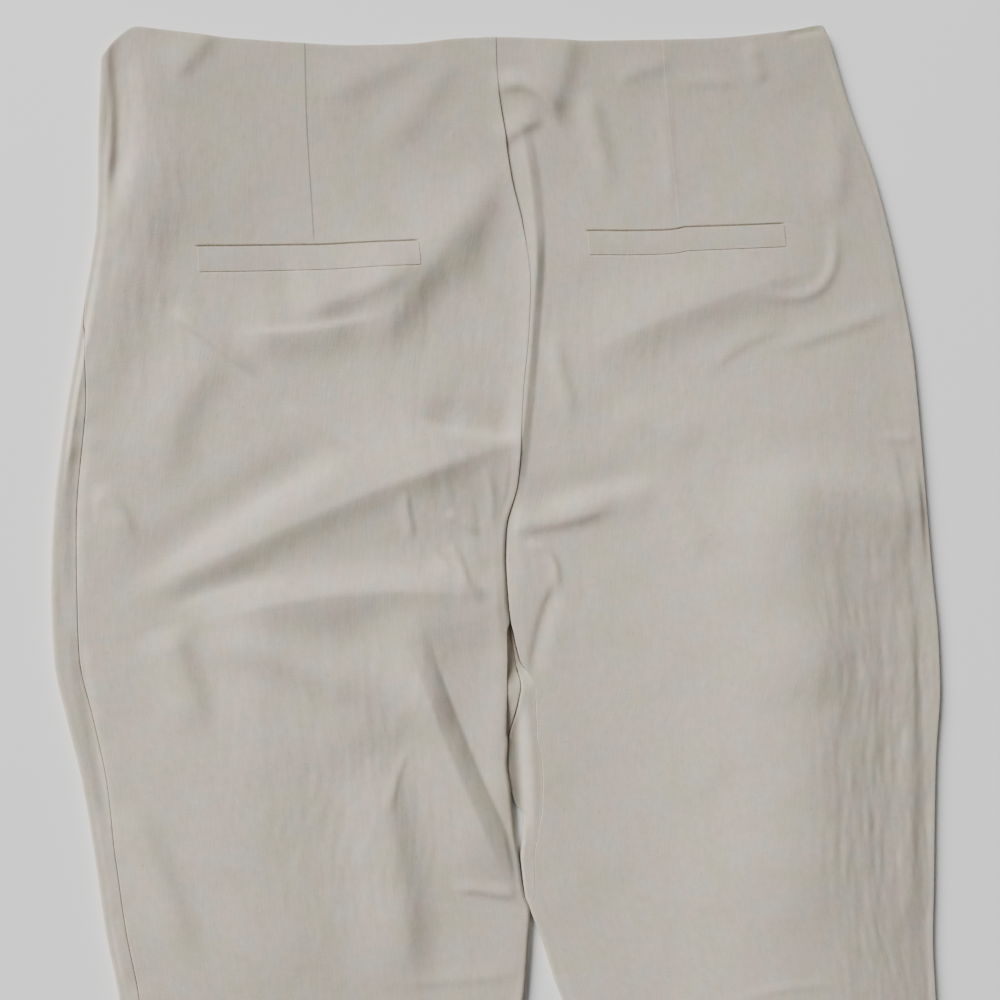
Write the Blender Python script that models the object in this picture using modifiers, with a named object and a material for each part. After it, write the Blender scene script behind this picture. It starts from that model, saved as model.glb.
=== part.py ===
"""A pair of long trousers laid flat on a table, back side up.

Units are metres in Blender and millimetres in the tables below. X runs across the garment, Y runs from the
hems to the waist, and Z is up. The origin is the middle of the ground that the garment covers, on the table.

Every cross-section of a trunk or a leg is a flattened ring of cloth: a bottom run that lies on the table, a
round turn at each side, and a top run that lies on the bottom one and rises into folds. A place on a ring is
its run, the distance in millimetres along the cloth from where the top run leaves the ring's left turn: the
run is positive over the top and negative round the left turn and back along the bottom. Each panel is the
stretch of ring between two seams, taken from the hem to the waist.
"""

import bpy
import numpy as np

MM = 0.001

# Driving sizes, in millimetres.
WALL = 1.2
SEAM_GAP = 0.3
TURN_GAP = 0.6
TURN_RADIUS = 1.7
WAIST_Y = 517.0
CROTCH_Y = 231.0
HEM_Y = -523.6
FRONT_SEAM_WAIST_X = 3.0
RIGHT_SEAM_UNDER = 10.0
SEAM_ROLL_WAIST = 20.0
SEAM_ROLL_RISE = 62.0
FRONT_ROLL_RISE = 26.0
EDGE_FADE = 11.0
INNER_FADE = 7.0
FOLD_END_SHARE = 0.3
DEEPEST_DIP = 1.1
WAIST_BLEND = 90.0
WELT_LENGTH = 117.0
WELT_DEPTH = 13.0
WELT_THICKNESS = 1.0
WELT_TOP_Y = 408.5
WELT_MARGIN = 2.0
WELT_CALM = 14.0
LEFT_WELT_X = -102.5
RIGHT_WELT_X = 110.5

# Rows and columns of the panels' grids. Each band of rows runs from the last one's end to its own, and is cut
# into steps of about that size.
BAND_COLUMNS = ("end", "step")
ROW_BANDS = (
    (WELT_TOP_Y, 18.0),
    (WELT_TOP_Y - WELT_DEPTH, 13.0),
    (CROTCH_Y, 18.0),
    (30.0, 10.0),
    (-30.0, 24.0),
    (HEM_Y, 70.0),
)
EDGE_STEP = 0.45
EDGE_ROW = 1.5
GAP_BLEND = 3.0
TOP_COLUMNS = 16
TURN_COLUMNS = 4
BOTTOM_COLUMNS = 3
CROWDING = 1.39

CLOTH_COLOUR = (0.47, 0.45, 0.40, 1.0)
WELT_COLOUR = (0.46, 0.43, 0.38, 1.0)

# The garment's outline at a row of heights, from the waist down to the hem. left_seam is the run of the left
# side seam: -2.7 is half-way round the turn, and a positive run is on top.
OUTLINE_COLUMNS = ("y", "left", "left_seam", "right")
OUTLINE = (
    (517.0, -202.0, -2.7, 207.5),
    (479.0, -206.0, -2.7, 216.5),
    (430.0, -210.0, -2.7, 230.5),
    (379.0, -221.0, -1.0, 240.0),
    (323.0, -234.5, 8.0, 246.5),
    (274.0, -244.0, 12.0, 247.5),
    (231.0, -248.5, 13.0, 248.0),
    (201.0, -249.5, 13.0, 248.5),
    (169.0, -245.5, 11.0, 249.5),
    (136.0, -240.5, 10.0, 248.5),
    (93.0, -237.0, 8.0, 242.5),
    (59.0, -235.0, 8.0, 239.0),
    (21.0, -231.0, 8.0, 235.5),
    (-26.0, -230.0, 8.0, 231.5),
    (-136.0, -234.0, 7.0, 230.5),
    (-286.0, -240.0, 6.0, 235.5),
    (HEM_Y, -249.0, 6.0, 241.5),
)

# The centre-back seam, from the waist to the crotch.
SEAT_COLUMNS = ("y", "x")
SEAT_SEAM = (
    (WAIST_Y, 8.5),
    (479.0, 8.0),
    (430.0, 12.0),
    (379.0, 16.5),
    (323.0, 8.5),
    (274.0, 1.0),
    (CROTCH_Y, -8.0),
)

# The two legs' inner outlines below the crotch, which touch where they are equal, and how far each leg's
# inner seam lies in from its outline on top. An inset of -2.7 is half-way round the turn.
LEG_COLUMNS = ("y", "left_in", "left_inset", "right_in", "right_inset")
LEGS = (
    (CROTCH_Y, -8.0, -2.7, -8.0, -2.7),
    (203.0, -8.5, -2.7, -8.5, -2.7),
    (175.0, -7.0, 2.6, -7.0, -0.6),
    (163.0, -5.0, 5.6, -5.0, 5.2),
    (153.0, -7.2, 4.3, -7.2, 7.4),
    (140.0, -11.6, 1.2, -11.6, 11.4),
    (130.0, -15.0, -1.3, -15.0, 14.4),
    (118.0, -16.4, -2.7, -16.4, 15.0),
    (105.0, -15.4, -2.7, -15.4, 12.0),
    (97.0, -14.3, -2.7, -13.0, 8.0),
    (90.0, -14.0, -2.7, -9.2, 4.2),
    (79.0, -13.7, -2.7, -10.4, 4.0),
    (66.0, -13.0, -2.7, -13.0, 4.0),
    (46.0, -12.0, -2.7, -12.0, 3.0),
    (38.0, -9.6, -2.7, -9.6, -2.7),
    (20.0, -12.0, -2.7, -3.9, -2.7),
    (-1.0, -15.2, -2.7, 1.0, -2.7),
    (-26.0, -19.0, -2.7, 7.5, -2.7),
    (-136.0, -18.5, -2.7, 13.5, -2.7),
    (-286.0, -14.5, -2.7, 10.5, -2.7),
    (HEM_Y, -11.5, -2.7, 5.5, -2.7),
)

# How far the waist edge lies above or below WAIST_Y across the garment.
WAIST_COLUMNS = ("x", "rise")
WAIST_LINE = (
    (-202.0, -9.0),
    (-194.0, 0.0),
    (-183.0, 6.5),
    (-170.0, 5.0),
    (-136.0, 0.5),
    (-96.0, -2.7),
    (-72.0, -4.0),
    (-45.0, -3.8),
    (-12.0, -0.8),
    (10.0, -0.3),
    (60.0, -2.7),
    (130.0, -2.0),
    (185.0, 2.5),
    (203.0, 5.0),
    (207.5, -4.0),
)

# The largest folds of the top layer. Each runs along a bent line through three places, start, middle and end.
# height is its rise, or its depth where negative. left_width and right_width are its half widths on the side
# to the left and to the right of someone who walks along it.
FOLD_COLUMNS = ("start", "middle", "end", "height", "left_width", "right_width")
FOLDS = {
    "seat_ridge": ((6, 297), (-85, 293), (-226, 224), 6.6, 22, 12),
    "seat_trough": ((-4, 286), (-104, 266), (-224, 212), -1.8, 9, 14),
    "thigh_ridge": ((-14, 212), (-105, 219), (-192, 200), 6.0, 26, 12),
    "left_thigh_slump": ((-60, 178), (-38, 107), (-14, 44), -4.0, 14, 8),
    "left_thigh_ridge": ((-82, 180), (-60, 104), (-40, 40), 5.6, 9, 18),
    "left_inner_swell": ((-30, 190), (-26, 130), (-16, 80), 4.6, 10, 8),
    "left_side_trough": ((-150, 442), (-192, 392), (-222, 300), -2.4, 12, 16),
    "left_hip_swell": ((-205, 470), (-210, 410), (-232, 350), 2.4, 9, 10),
    "left_seam_slope": ((-30, 505), (-50, 430), (-110, 350), -2.0, 22, 30),
    "left_pocket_ridge": ((-155, 364), (-100, 365), (-58, 372), 2.2, 12, 6),
    "left_pocket_crease": ((-170, 369), (-130, 334), (-92, 300), 2.4, 9, 7),
    "centre_ridge": ((10, 486), (30, 400), (0, 300), 6.0, 8, 9),
    "centre_trough": ((24, 452), (34, 385), (8, 306), -2.4, 5, 12),
    "crotch_ridge": ((-6, 252), (24, 254), (86, 268), 6.2, 15, 8),
    "crotch_trough": ((-4, 245), (18, 240), (46, 240), -1.8, 5, 7),
    "crotch_swell": ((6, 232), (20, 215), (2, 172), 4.0, 8, 9),
    "right_pocket_trough": ((60, 338), (130, 352), (200, 386), -2.4, 13, 15),
    "right_hip_ridge": ((236, 360), (160, 334), (92, 306), 4.0, 14, 18),
    "right_inner_ridge": ((14, 190), (6, 120), (-6, 44), 4.6, 28, 6),
    "right_leg_crown": ((140, 276), (136, 130), (126, -20), 5.6, 64, 46),
    "left_leg_crown": ((-150, 190), (-150, 90), (-140, -20), 4.2, 46, 52),
    "right_seat_crown": ((110, 330), (140, 280), (150, 220), 3.0, 52, 42),
    "right_low_fold": ((92, -36), (138, -24), (176, -40), 2.4, 8, 11),
    "left_knee_fold": ((-196, -120), (-150, -134), (-96, -128), 3.6, 14, 18),
    "right_knee_fold": ((60, -150), (120, -166), (190, -156), 3.6, 14, 18),
    "left_shin_crown": ((-130, -60), (-132, -250), (-130, -490), 3.6, 48, 48),
    "right_shin_crown": ((118, -60), (122, -250), (124, -490), 3.6, 48, 48),
    "left_shin_fold": ((-190, -260), (-150, -330), (-150, -420), 2.8, 14, 20),
    "right_shin_fold": ((176, -280), (150, -350), (158, -450), 2.8, 20, 14),
}


def columns_of(names, rows):
    """Turns a table into named columns."""
    table = np.array(rows, float)
    return {name: table[:, i] for i, name in enumerate(names)}


def smooth_curve(at, places, values):
    """A curve through every value that never swings past its neighbours.

    The slope at a place is the harmonic mean of the slopes on its two sides, and 0 where they differ in sign.
    """
    order = np.argsort(places)
    places = places[order]
    values = values[order]
    steps = np.diff(values) / np.diff(places)
    steps = np.concatenate([steps[:1], steps, steps[-1:]])
    before = steps[:-1]
    after = steps[1:]
    total = before + after
    slopes = np.where(before * after > 0, 2.0 * before * after / np.where(total == 0, 1.0, total), 0.0)
    i = np.clip(np.searchsorted(places, at) - 1, 0, len(places) - 2)
    step = places[i + 1] - places[i]
    t = np.clip((at - places[i]) / step, 0.0, 1.0)
    ease = t * t * (3.0 - 2.0 * t)
    rise = t * (1.0 - t)
    bend = step * rise * ((1.0 - t) * slopes[i] - t * slopes[i + 1])
    return values[i] + (values[i + 1] - values[i]) * ease + bend


def ramp(value, low, high):
    """0 below low, 1 above high, and a soft step between them."""
    t = np.clip((value - low) / (high - low), 0.0, 1.0)
    return t * t * (3.0 - 2.0 * t)


OUTLINE_CURVES = columns_of(OUTLINE_COLUMNS, OUTLINE)
SEAT_CURVE = columns_of(SEAT_COLUMNS, SEAT_SEAM)
LEG_CURVES = columns_of(LEG_COLUMNS, LEGS)
WAIST_CURVE = columns_of(WAIST_COLUMNS, WAIST_LINE)


def outline(name, y):
    return smooth_curve(y, OUTLINE_CURVES["y"], OUTLINE_CURVES[name])


def leg(name, y):
    return smooth_curve(y, LEG_CURVES["y"], LEG_CURVES[name])


def bent_line(start, middle, end, count=13):
    """Points along the parabola that passes through the three places."""
    t = np.linspace(0.0, 1.0, count)[:, None]
    start = np.array(start, float)
    middle = np.array(middle, float)
    end = np.array(end, float)
    control = 2.0 * middle - 0.5 * (start + end)
    return (1 - t) ** 2 * start + 2 * t * (1 - t) * control + t ** 2 * end


def fold_height(x, y, row):
    """A soft bell across the fold's line, with its own width on each side, that fades out at both ends."""
    fold = dict(zip(FOLD_COLUMNS, row))
    line = bent_line(fold["start"], fold["middle"], fold["end"])
    a = line[:-1]
    along = line[1:] - a
    length = np.sum(along ** 2, axis=1)
    dx = x[..., None] - a[:, 0]
    dy = y[..., None] - a[:, 1]
    t = np.clip((dx * along[:, 0] + dy * along[:, 1]) / length, 0.0, 1.0)
    away = np.hypot(dx - t * along[:, 0], dy - t * along[:, 1])
    side = along[:, 0] * dy - along[:, 1] * dx
    nearest = np.argmin(away, axis=-1)[..., None]
    distance = np.take_along_axis(away, nearest, -1)[..., 0]
    is_left = np.take_along_axis(side, nearest, -1)[..., 0] > 0
    place = (nearest[..., 0] + np.take_along_axis(t, nearest, -1)[..., 0]) / len(a)
    width = np.where(is_left, fold["left_width"], fold["right_width"])
    ends = ramp(place, 0.0, FOLD_END_SHARE) * ramp(1.0 - place, 0.0, FOLD_END_SHARE)
    return fold["height"] * ends * np.exp(-(distance / width) ** 2)


def pocket_calm(x, y):
    """1 away from the welts and 0 on them, so that the cloth is flat under a welt."""
    calm = np.ones_like(x)
    middle_y = WELT_TOP_Y - WELT_DEPTH / 2
    for middle_x in (LEFT_WELT_X, RIGHT_WELT_X):
        beside = np.abs(x - middle_x) - WELT_LENGTH / 2 - WELT_MARGIN
        over = np.abs(y - middle_y) - WELT_DEPTH / 2 - WELT_MARGIN
        calm = calm * ramp(np.maximum(beside, over), 0.0, WELT_CALM)
    return calm


def relief(x, y):
    """The height of the folds above the plain top layer, which sinks by less than DEEPEST_DIP."""
    total = np.zeros_like(x)
    for row in FOLDS.values():
        total = total + fold_height(x, y, row)
    total = total * pocket_calm(x, y)
    return np.where(total > 0, total, DEEPEST_DIP * np.expm1(total / DEEPEST_DIP))


def shown_y(x, y):
    """Moves a row so that the rows near the top follow the waist edge."""
    rise = smooth_curve(x, WAIST_CURVE["x"], WAIST_CURVE["rise"])
    return y + rise * ramp(y, WAIST_Y - WAIST_BLEND, WAIST_Y)


def ring_point(run, left, right, left_edge, right_edge):
    """A place on the ring between two turn centres, as x, z and how far the folds lift it there.

    Each edge is (open, fade). open is 1 where that side of the ring is a seam between two backs, whose folds
    run on across it, and 0 where it is a turn, towards which the folds fade out over the fade's width.
    """
    radius = TURN_RADIUS
    width = right - left
    turn = np.pi * radius
    floor = WALL / 2
    run = np.where(run < -turn - width, run + 2 * (width + turn), run)
    top = (run >= 0) & (run <= width)
    left_turn = (run < 0) & (run >= -turn)
    right_turn = (run > width) & (run <= width + turn)
    bottom_from_left = run < -turn
    angle_left = -run / radius
    angle_right = (run - width) / radius
    cases = [top, left_turn, right_turn, bottom_from_left]
    x = np.select(cases, [
        left + run,
        left - radius * np.sin(angle_left),
        right + radius * np.sin(angle_right),
        left - run - turn,
    ], right - (run - width - turn))
    z = np.select(cases, [
        floor + 2 * radius + 0 * run,
        floor + radius + radius * np.cos(angle_left),
        floor + radius + radius * np.cos(angle_right),
        floor + 0 * run,
    ], floor)
    left_open, left_fade = left_edge
    right_open, right_fade = right_edge
    left_lift = np.maximum(ramp(run, 0, left_fade), left_open)
    right_lift = np.maximum(ramp(width - run, 0, right_fade), right_open)
    return x, z, np.where(top | left_turn | right_turn, left_lift * right_lift, 0.0)


def spread(*stretches):
    """Runs along every row. Each stretch is the run that it ends at, its number of steps and their crowding.

    Crowding of 1 gives equal steps, more crowds them towards the stretch's start, and less towards its end.
    """
    runs = [stretches[0][0][:, None]]
    for end, count, crowding in stretches[1:]:
        t = np.arange(1, count + 1) / count
        t = t ** crowding if crowding >= 1 else 1 - (1 - t) ** (1 / crowding)
        start = runs[-1][:, -1:]
        runs.append(start + (end[:, None] - start) * t)
    return np.concatenate(runs, axis=1)


def row_heights():
    """The rows of every panel, close together where folds show, and with one at each of a welt's edges."""
    rows = [WAIST_Y]
    for end, step in ROW_BANDS:
        count = round((rows[-1] - end) / step)
        rows.extend(np.linspace(rows[-1], end, max(1, count) + 1)[1:])
    return np.array(rows)


ROWS = row_heights()


def back_roll(y):
    """How far the centre-back edge is rolled down into its seam, 90 degrees at the crotch."""
    above = ramp(y, CROTCH_Y, CROTCH_Y + SEAM_ROLL_RISE)
    return np.radians(90.0 + (SEAM_ROLL_WAIST - 90.0) * above)


def front_roll(y):
    """How far the centre-front edge is rolled up, from flat above the crotch to 90 degrees at it."""
    return np.radians(90.0 * (1 - ramp(y, CROTCH_Y, CROTCH_Y + FRONT_ROLL_RISE)))


def back_edge(name, y):
    """The centre-back seam above the crotch, and the leg's inner outline below it."""
    seam = smooth_curve(y, SEAT_CURVE["y"], SEAT_CURVE["x"])
    return np.where(y > CROTCH_Y, seam, leg(name, y))


def front_edge(name, y):
    """The centre-front seam above the crotch, and the leg's inner outline below it."""
    at_crotch = leg(name, np.array([CROTCH_Y]))[0]
    seam = at_crotch + (FRONT_SEAM_WAIST_X - at_crotch) * ramp(y, CROTCH_Y, WAIST_Y)
    return np.where(y > CROTCH_Y, seam, leg(name, y))


def edge_reach(roll):
    """How far a rolled edge's outer face reaches past the centre of its turn."""
    return SEAM_GAP / 2 + (TURN_RADIUS + WALL / 2) * np.sin(roll)


def back_reach(y):
    return edge_reach(np.where(y > CROTCH_Y, back_roll(y), np.pi / 2))


def front_reach(y):
    return edge_reach(np.where(y > CROTCH_Y, front_roll(y), np.pi / 2))


def back_inset(name, y):
    """How far in from the turn's top a back's inner edge lies: on the turn itself above the crotch."""
    return np.where(y > CROTCH_Y, -TURN_RADIUS * back_roll(y), leg(name, y))


def front_inset(name, y):
    """How far in from the turn's top a front's inner edge lies."""
    return np.where(y > CROTCH_Y, TURN_RADIUS * (front_roll(y) - np.pi), leg(name, y))


def gap_at(run):
    """The gap of a seam at a run: wider round a turn, where the walls' inner corners lean together."""
    return TURN_GAP + (SEAM_GAP - TURN_GAP) * ramp(run, 0.0, GAP_BLEND)


def inner_gap(inset, y):
    """What each panel's inner edge gives up for the seam's gap, nothing where no turn is shared."""
    shared = front_roll(y) / (np.pi / 2)
    return np.where(y > CROTCH_Y, TURN_GAP * shared, gap_at(inset)) / 2


def seat_open(y):
    """1 where the two backs are joined, and 0 from the crotch down, where each leg has a turn of its own."""
    return ramp(y, CROTCH_Y, CROTCH_Y + SEAM_ROLL_RISE)[:, None]


def outer_left(y):
    return outline("left", y) + WALL / 2 + TURN_RADIUS


def outer_right(y):
    return outline("right", y) - WALL / 2 - TURN_RADIUS


OUTER_EDGE = (0.0, EDGE_FADE)
LEG_EDGE = (0.0, INNER_FADE)


def panel_surface(runs, left, right, left_edge, right_edge):
    """The middle surface of a panel, as rows of places on its rings, in millimetres."""
    y = np.repeat(ROWS[:, None], runs.shape[1], axis=1)
    x, z, lift = ring_point(runs, left[:, None], right[:, None], left_edge, right_edge)
    y = shown_y(x, y)
    return np.stack([x, y, z + lift * relief(x, y)], axis=-1)


def back_left_surface():
    left = outer_left(ROWS)
    right = back_edge("left_in", ROWS) - back_reach(ROWS)
    width = right - left
    seam = outline("left_seam", ROWS)
    inset = back_inset("left_inset", ROWS)
    start = seam + gap_at(seam) / 2
    end = width - inset - inner_gap(inset, ROWS)
    runs = spread(
        (start,),
        (start + EDGE_STEP, 1, 1),
        (np.maximum(start + EDGE_ROW, 0.0), 2, 1),
        (np.minimum(width, end - EDGE_ROW), TOP_COLUMNS, 1 / CROWDING),
        (end - EDGE_STEP, 2, 1),
        (end, 1, 1),
    )
    return panel_surface(runs, left, right, OUTER_EDGE, (seat_open(ROWS), INNER_FADE))


def back_right_surface():
    left = back_edge("right_in", ROWS) + back_reach(ROWS)
    right = outer_right(ROWS)
    width = right - left
    inset = back_inset("right_inset", ROWS)
    start = inset + inner_gap(inset, ROWS)
    turn = np.pi * TURN_RADIUS
    runs = spread(
        (start,),
        (start + EDGE_STEP, 1, 1),
        (np.maximum(start + EDGE_ROW, 0.0), 2, 1),
        (width, TOP_COLUMNS, CROWDING),
        (width + turn, TURN_COLUMNS, 1),
        (width + turn + RIGHT_SEAM_UNDER, 1, 1),
    )
    return panel_surface(runs, left, right, (seat_open(ROWS), INNER_FADE), OUTER_EDGE)


def front_left_surface():
    left = outer_left(ROWS)
    right = front_edge("left_in", ROWS) - front_reach(ROWS)
    width = right - left
    turn = np.pi * TURN_RADIUS
    seam = outline("left_seam", ROWS)
    inset = front_inset("left_inset", ROWS)
    start = seam - gap_at(seam) / 2
    end = -width - 2 * turn - inset + inner_gap(inset, ROWS)
    runs = spread(
        (start,),
        (start - EDGE_STEP, 1, 1),
        (np.minimum(start - EDGE_ROW, 0.0), 1, 1),
        (np.full_like(left, -turn), TURN_COLUMNS, 1),
        (-width - turn + EDGE_ROW, BOTTOM_COLUMNS, 1),
        (end + EDGE_STEP, TURN_COLUMNS + 1, 1),
        (end, 1, 1),
    )
    return panel_surface(runs, left, right, OUTER_EDGE, LEG_EDGE)


def front_right_surface():
    left = front_edge("right_in", ROWS) + front_reach(ROWS)
    right = outer_right(ROWS)
    width = right - left
    turn = np.pi * TURN_RADIUS
    inset = front_inset("right_inset", ROWS)
    start = inset - inner_gap(inset, ROWS)
    turn_start = np.minimum(start - 2 * EDGE_STEP, 0.0)
    runs = spread(
        (start,),
        (start - EDGE_STEP, 1, 1),
        (turn_start, 2, 1),
        (np.minimum(turn_start - EDGE_STEP, -turn), TURN_COLUMNS, 1),
        (-turn - width + RIGHT_SEAM_UNDER + SEAM_GAP, BOTTOM_COLUMNS, 1),
    )
    return panel_surface(runs, left, right, LEG_EDGE, OUTER_EDGE)


def welt_surface(middle_x):
    """A straight strip on the flat cloth of the back, moved out by both half walls and a gap."""
    x = np.linspace(middle_x - WELT_LENGTH / 2, middle_x + WELT_LENGTH / 2, 9)
    y = np.linspace(WELT_TOP_Y, WELT_TOP_Y - WELT_DEPTH, 3)
    x, y = np.meshgrid(x, y)
    lifted = WALL / 2 + 2 * TURN_RADIUS + WALL / 2 + SEAM_GAP + WELT_THICKNESS / 2
    return np.stack([x, y, np.full_like(x, lifted)], axis=-1)


def cloth_material(name, colour):
    material = bpy.data.materials.new(name)
    material.use_nodes = True
    shader = material.node_tree.nodes["Principled BSDF"]
    shader.inputs["Base Color"].default_value = colour
    shader.inputs["Roughness"].default_value = 0.85
    shader.inputs["Metallic"].default_value = 0.0
    return material


def add_panel(name, surface, thickness, material, collection, flip=False):
    """Makes the middle surface a mesh of quads and gives it its wall with Solidify."""
    rows, columns = surface.shape[:2]
    index = np.arange(rows * columns).reshape(rows, columns)
    faces = np.stack([index[:-1, :-1], index[1:, :-1], index[1:, 1:], index[:-1, 1:]], axis=-1)
    faces = faces.reshape(-1, 4)
    if flip:
        faces = faces[:, ::-1]
    mesh = bpy.data.meshes.new(name)
    mesh.from_pydata((surface.reshape(-1, 3) * MM).tolist(), [], faces.tolist())
    mesh.shade_smooth()
    mesh.materials.append(material)
    panel = bpy.data.objects.new(name, mesh)
    collection.objects.link(panel)
    wall = panel.modifiers.new("Wall", "SOLIDIFY")
    wall.thickness = thickness * MM
    wall.offset = 0.0
    return panel


def main():
    for old in list(bpy.data.objects):
        bpy.data.objects.remove(old)
    trousers = bpy.data.collections.new("Trousers")
    bpy.context.scene.collection.children.link(trousers)
    cloth = cloth_material("Ecru cotton twill", CLOTH_COLOUR)
    welt_cloth = cloth_material("Ecru welt cloth", WELT_COLOUR)
    add_panel("back_left", back_left_surface(), WALL, cloth, trousers)
    add_panel("back_right", back_right_surface(), WALL, cloth, trousers)
    add_panel("front_left", front_left_surface(), WALL, cloth, trousers, flip=True)
    add_panel("front_right", front_right_surface(), WALL, cloth, trousers, flip=True)
    add_panel("back_welt_left", welt_surface(LEFT_WELT_X), WELT_THICKNESS, welt_cloth, trousers)
    add_panel("back_welt_right", welt_surface(RIGHT_WELT_X), WELT_THICKNESS, welt_cloth, trousers)


main()
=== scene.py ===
"""Ecru wide-leg trousers, laid flat on a table with the back side up.

Tables and working sizes are in millimetres, and meshes are in metres. X runs across the garment, Y from the
hems to the waist, and Z up. The cloth is a thin shell that lies on the form of the solids in the frame.

Every cross-section of the trunk or of a leg is a flattened ring of cloth. A place on a ring is its run, the
distance along the cloth from where the top leaves the ring's left turn: positive over the top, negative
round the left turn and back along the bottom. Each panel is the stretch of ring between two seams.
"""

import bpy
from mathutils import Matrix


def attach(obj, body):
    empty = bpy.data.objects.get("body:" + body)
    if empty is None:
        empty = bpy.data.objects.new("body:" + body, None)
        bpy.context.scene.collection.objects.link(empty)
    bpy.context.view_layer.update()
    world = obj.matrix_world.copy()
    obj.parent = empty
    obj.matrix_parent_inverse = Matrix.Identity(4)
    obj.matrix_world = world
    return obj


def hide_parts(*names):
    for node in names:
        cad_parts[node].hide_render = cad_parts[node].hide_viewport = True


bl_info = {
    "name": "Wide-leg trousers, laid flat",
    "version": (1, 0, 0),
    "blender": (4, 5, 0),
    "location": "3D View > Sidebar > Trousers",
    "description": "Makes the sewn panels, welts, stitches and stage of a pair of trousers laid flat",
    "category": "Object",
}

import bmesh
import bpy
import numpy as np
from bpy.props import FloatProperty, FloatVectorProperty, PointerProperty
from mathutils import Matrix, Vector

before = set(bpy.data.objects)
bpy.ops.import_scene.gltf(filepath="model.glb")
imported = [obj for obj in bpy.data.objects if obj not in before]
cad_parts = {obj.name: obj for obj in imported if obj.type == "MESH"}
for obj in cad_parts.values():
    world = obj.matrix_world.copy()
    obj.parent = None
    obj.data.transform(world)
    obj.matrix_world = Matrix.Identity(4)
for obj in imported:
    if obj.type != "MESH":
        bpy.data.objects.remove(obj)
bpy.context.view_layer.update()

MM = 0.001

# The solids' own sizes.
SKIN_RADIUS = 2.15
SKIN_FLOOR = 0.3
TURN_SQUARE = 0.6
RIGHT_SQUARE = 0.35
MIDDLE_RADIUS = 1.7
WAIST_Y = 517.0
CROTCH_Y = 231.0
HEM_Y = -523.6
FRONT_SEAM_WAIST_X = 3.0
RIGHT_SEAM_UNDER = 10.0
SEAM_ROLL_WAIST = 20.0
SEAM_ROLL_RISE = 62.0
FRONT_ROLL_RISE = 26.0
WAIST_BLEND = 90.0
WELT_LENGTH = 117.0
WELT_DEPTH = 13.0
WELT_TOP_Y = 408.5
LEFT_WELT_X = -102.5
RIGHT_WELT_X = 110.5

# How the folds fade and how deep the cloth may sink between them.
LEFT_FADE = 3.0
RIGHT_FADE = 4.0
INNER_FADE = 5.0
FOLD_END_SHARE = 0.3
DEEPEST_DIP = 2.4
LOWEST_SKIN = 0.9

# Rows of every panel, as (end, step). A band runs from the last one's end to its own, in about such steps.
ROW_BANDS = (
    (WELT_TOP_Y + 2.0, 1.7),
    (WELT_TOP_Y - 2.0, 0.35),
    (WELT_TOP_Y - WELT_DEPTH + 2.0, 1.7),
    (WELT_TOP_Y - WELT_DEPTH - 2.0, 0.5),
    (-60.0, 1.65),
    (HEM_Y, 7.0),
)
TOP_STEP_COUNT = 88
DART_HALF = 1.6
DART_STEPS = 10


def columns_of(names, *rows):
    """A table's rows as named columns of numbers."""
    table = np.array(rows, float)
    return {name: table[:, i] for i, name in enumerate(names)}


# The garment's outline from the waist to the hem. left_seam is the run of the left side seam.
OUTLINE = columns_of(
    ("y", "left", "left_seam", "right"),
    (517, -202, -2.7, 207.5),
    (479, -206, -2.7, 216.5),
    (430, -210, -2.7, 230.5),
    (379, -221, -1, 240),
    (323, -234.5, 8, 246.5),
    (274, -244, 9.4, 247.5),
    (231, -248.5, 10.8, 248),
    (201, -249.5, 10.6, 248.5),
    (169, -245.5, 10.8, 249.5),
    (136, -240.5, 10, 248.5),
    (93, -237, 8, 242.5),
    (59, -235, 8, 239),
    (21, -231, 8, 235.5),
    (-26, -230, 8, 231.5),
    (-136, -234, 7, 230.5),
    (-286, -240, 6, 235.5),
    (HEM_Y, -249, 6, 241.5),
)

# The centre-back seam, from the waist to the crotch.
SEAT_SEAM = columns_of(
    ("y", "x"),
    (WAIST_Y, 8),
    (492, 7),
    (474, 8),
    (440, 10.5),
    (415, 14.5),
    (388, 16.5),
    (356, 13.5),
    (324, 8),
    (302, 5),
    (272, 1),
    (249, -6.5),
    (CROTCH_Y, -8.5),
)

# The legs' inner outlines below the crotch, and how far each inner seam lies in from the outline on top.
LEGS = columns_of(
    ("y", "left_in", "left_inset", "right_in", "right_inset"),
    (CROTCH_Y, -8.5, -2.7, -8.5, -2.7),
    (206, -8.9, -2.7, -8.9, -2.7),
    (190, -8, 0.8, -8, -0.6),
    (175, -7, 2.8, -7, 0.6),
    (163, -5, 5.6, -5, 5.2),
    (153, -7.2, 4.3, -7.2, 7.4),
    (140, -11.6, 1.2, -11.6, 11.4),
    (130, -15, -1.3, -15, 14.4),
    (118, -16.4, -2.7, -16.4, 17.6),
    (105, -15.4, -2.7, -15.4, 16),
    (97, -15.4, -2.7, -13, 12.8),
    (90, -15.2, -2.7, -9, 8),
    (79, -14.8, -2.7, -10.2, 6),
    (66, -13.6, -2.7, -12.6, 5.2),
    (46, -12, -2.7, -12, 3.4),
    (38, -9.6, -2.7, -9.6, -2.7),
    (20, -12, -2.7, -3.9, -2.7),
    (-1, -15.2, -2.7, 1, -2.7),
    (-26, -19, -2.7, 7.5, -2.7),
    (-136, -18.5, -2.7, 13.5, -2.7),
    (-286, -14.5, -2.7, 10.5, -2.7),
    (HEM_Y, -11.5, -2.7, 5.5, -2.7),
)

# How far the waist edge lies above or below WAIST_Y across the garment.
WAIST_LINE = columns_of(
    ("x", "rise"),
    (-202, -9),
    (-194, 0),
    (-183, 6.5),
    (-170, 5),
    (-136, 0.5),
    (-96, -2.7),
    (-72, -4),
    (-45, -3.8),
    (-12, -0.8),
    (10, -0.3),
    (60, -2.7),
    (130, -2),
    (185, 2.5),
    (203, 5),
    (207.5, -4),
)

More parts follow.
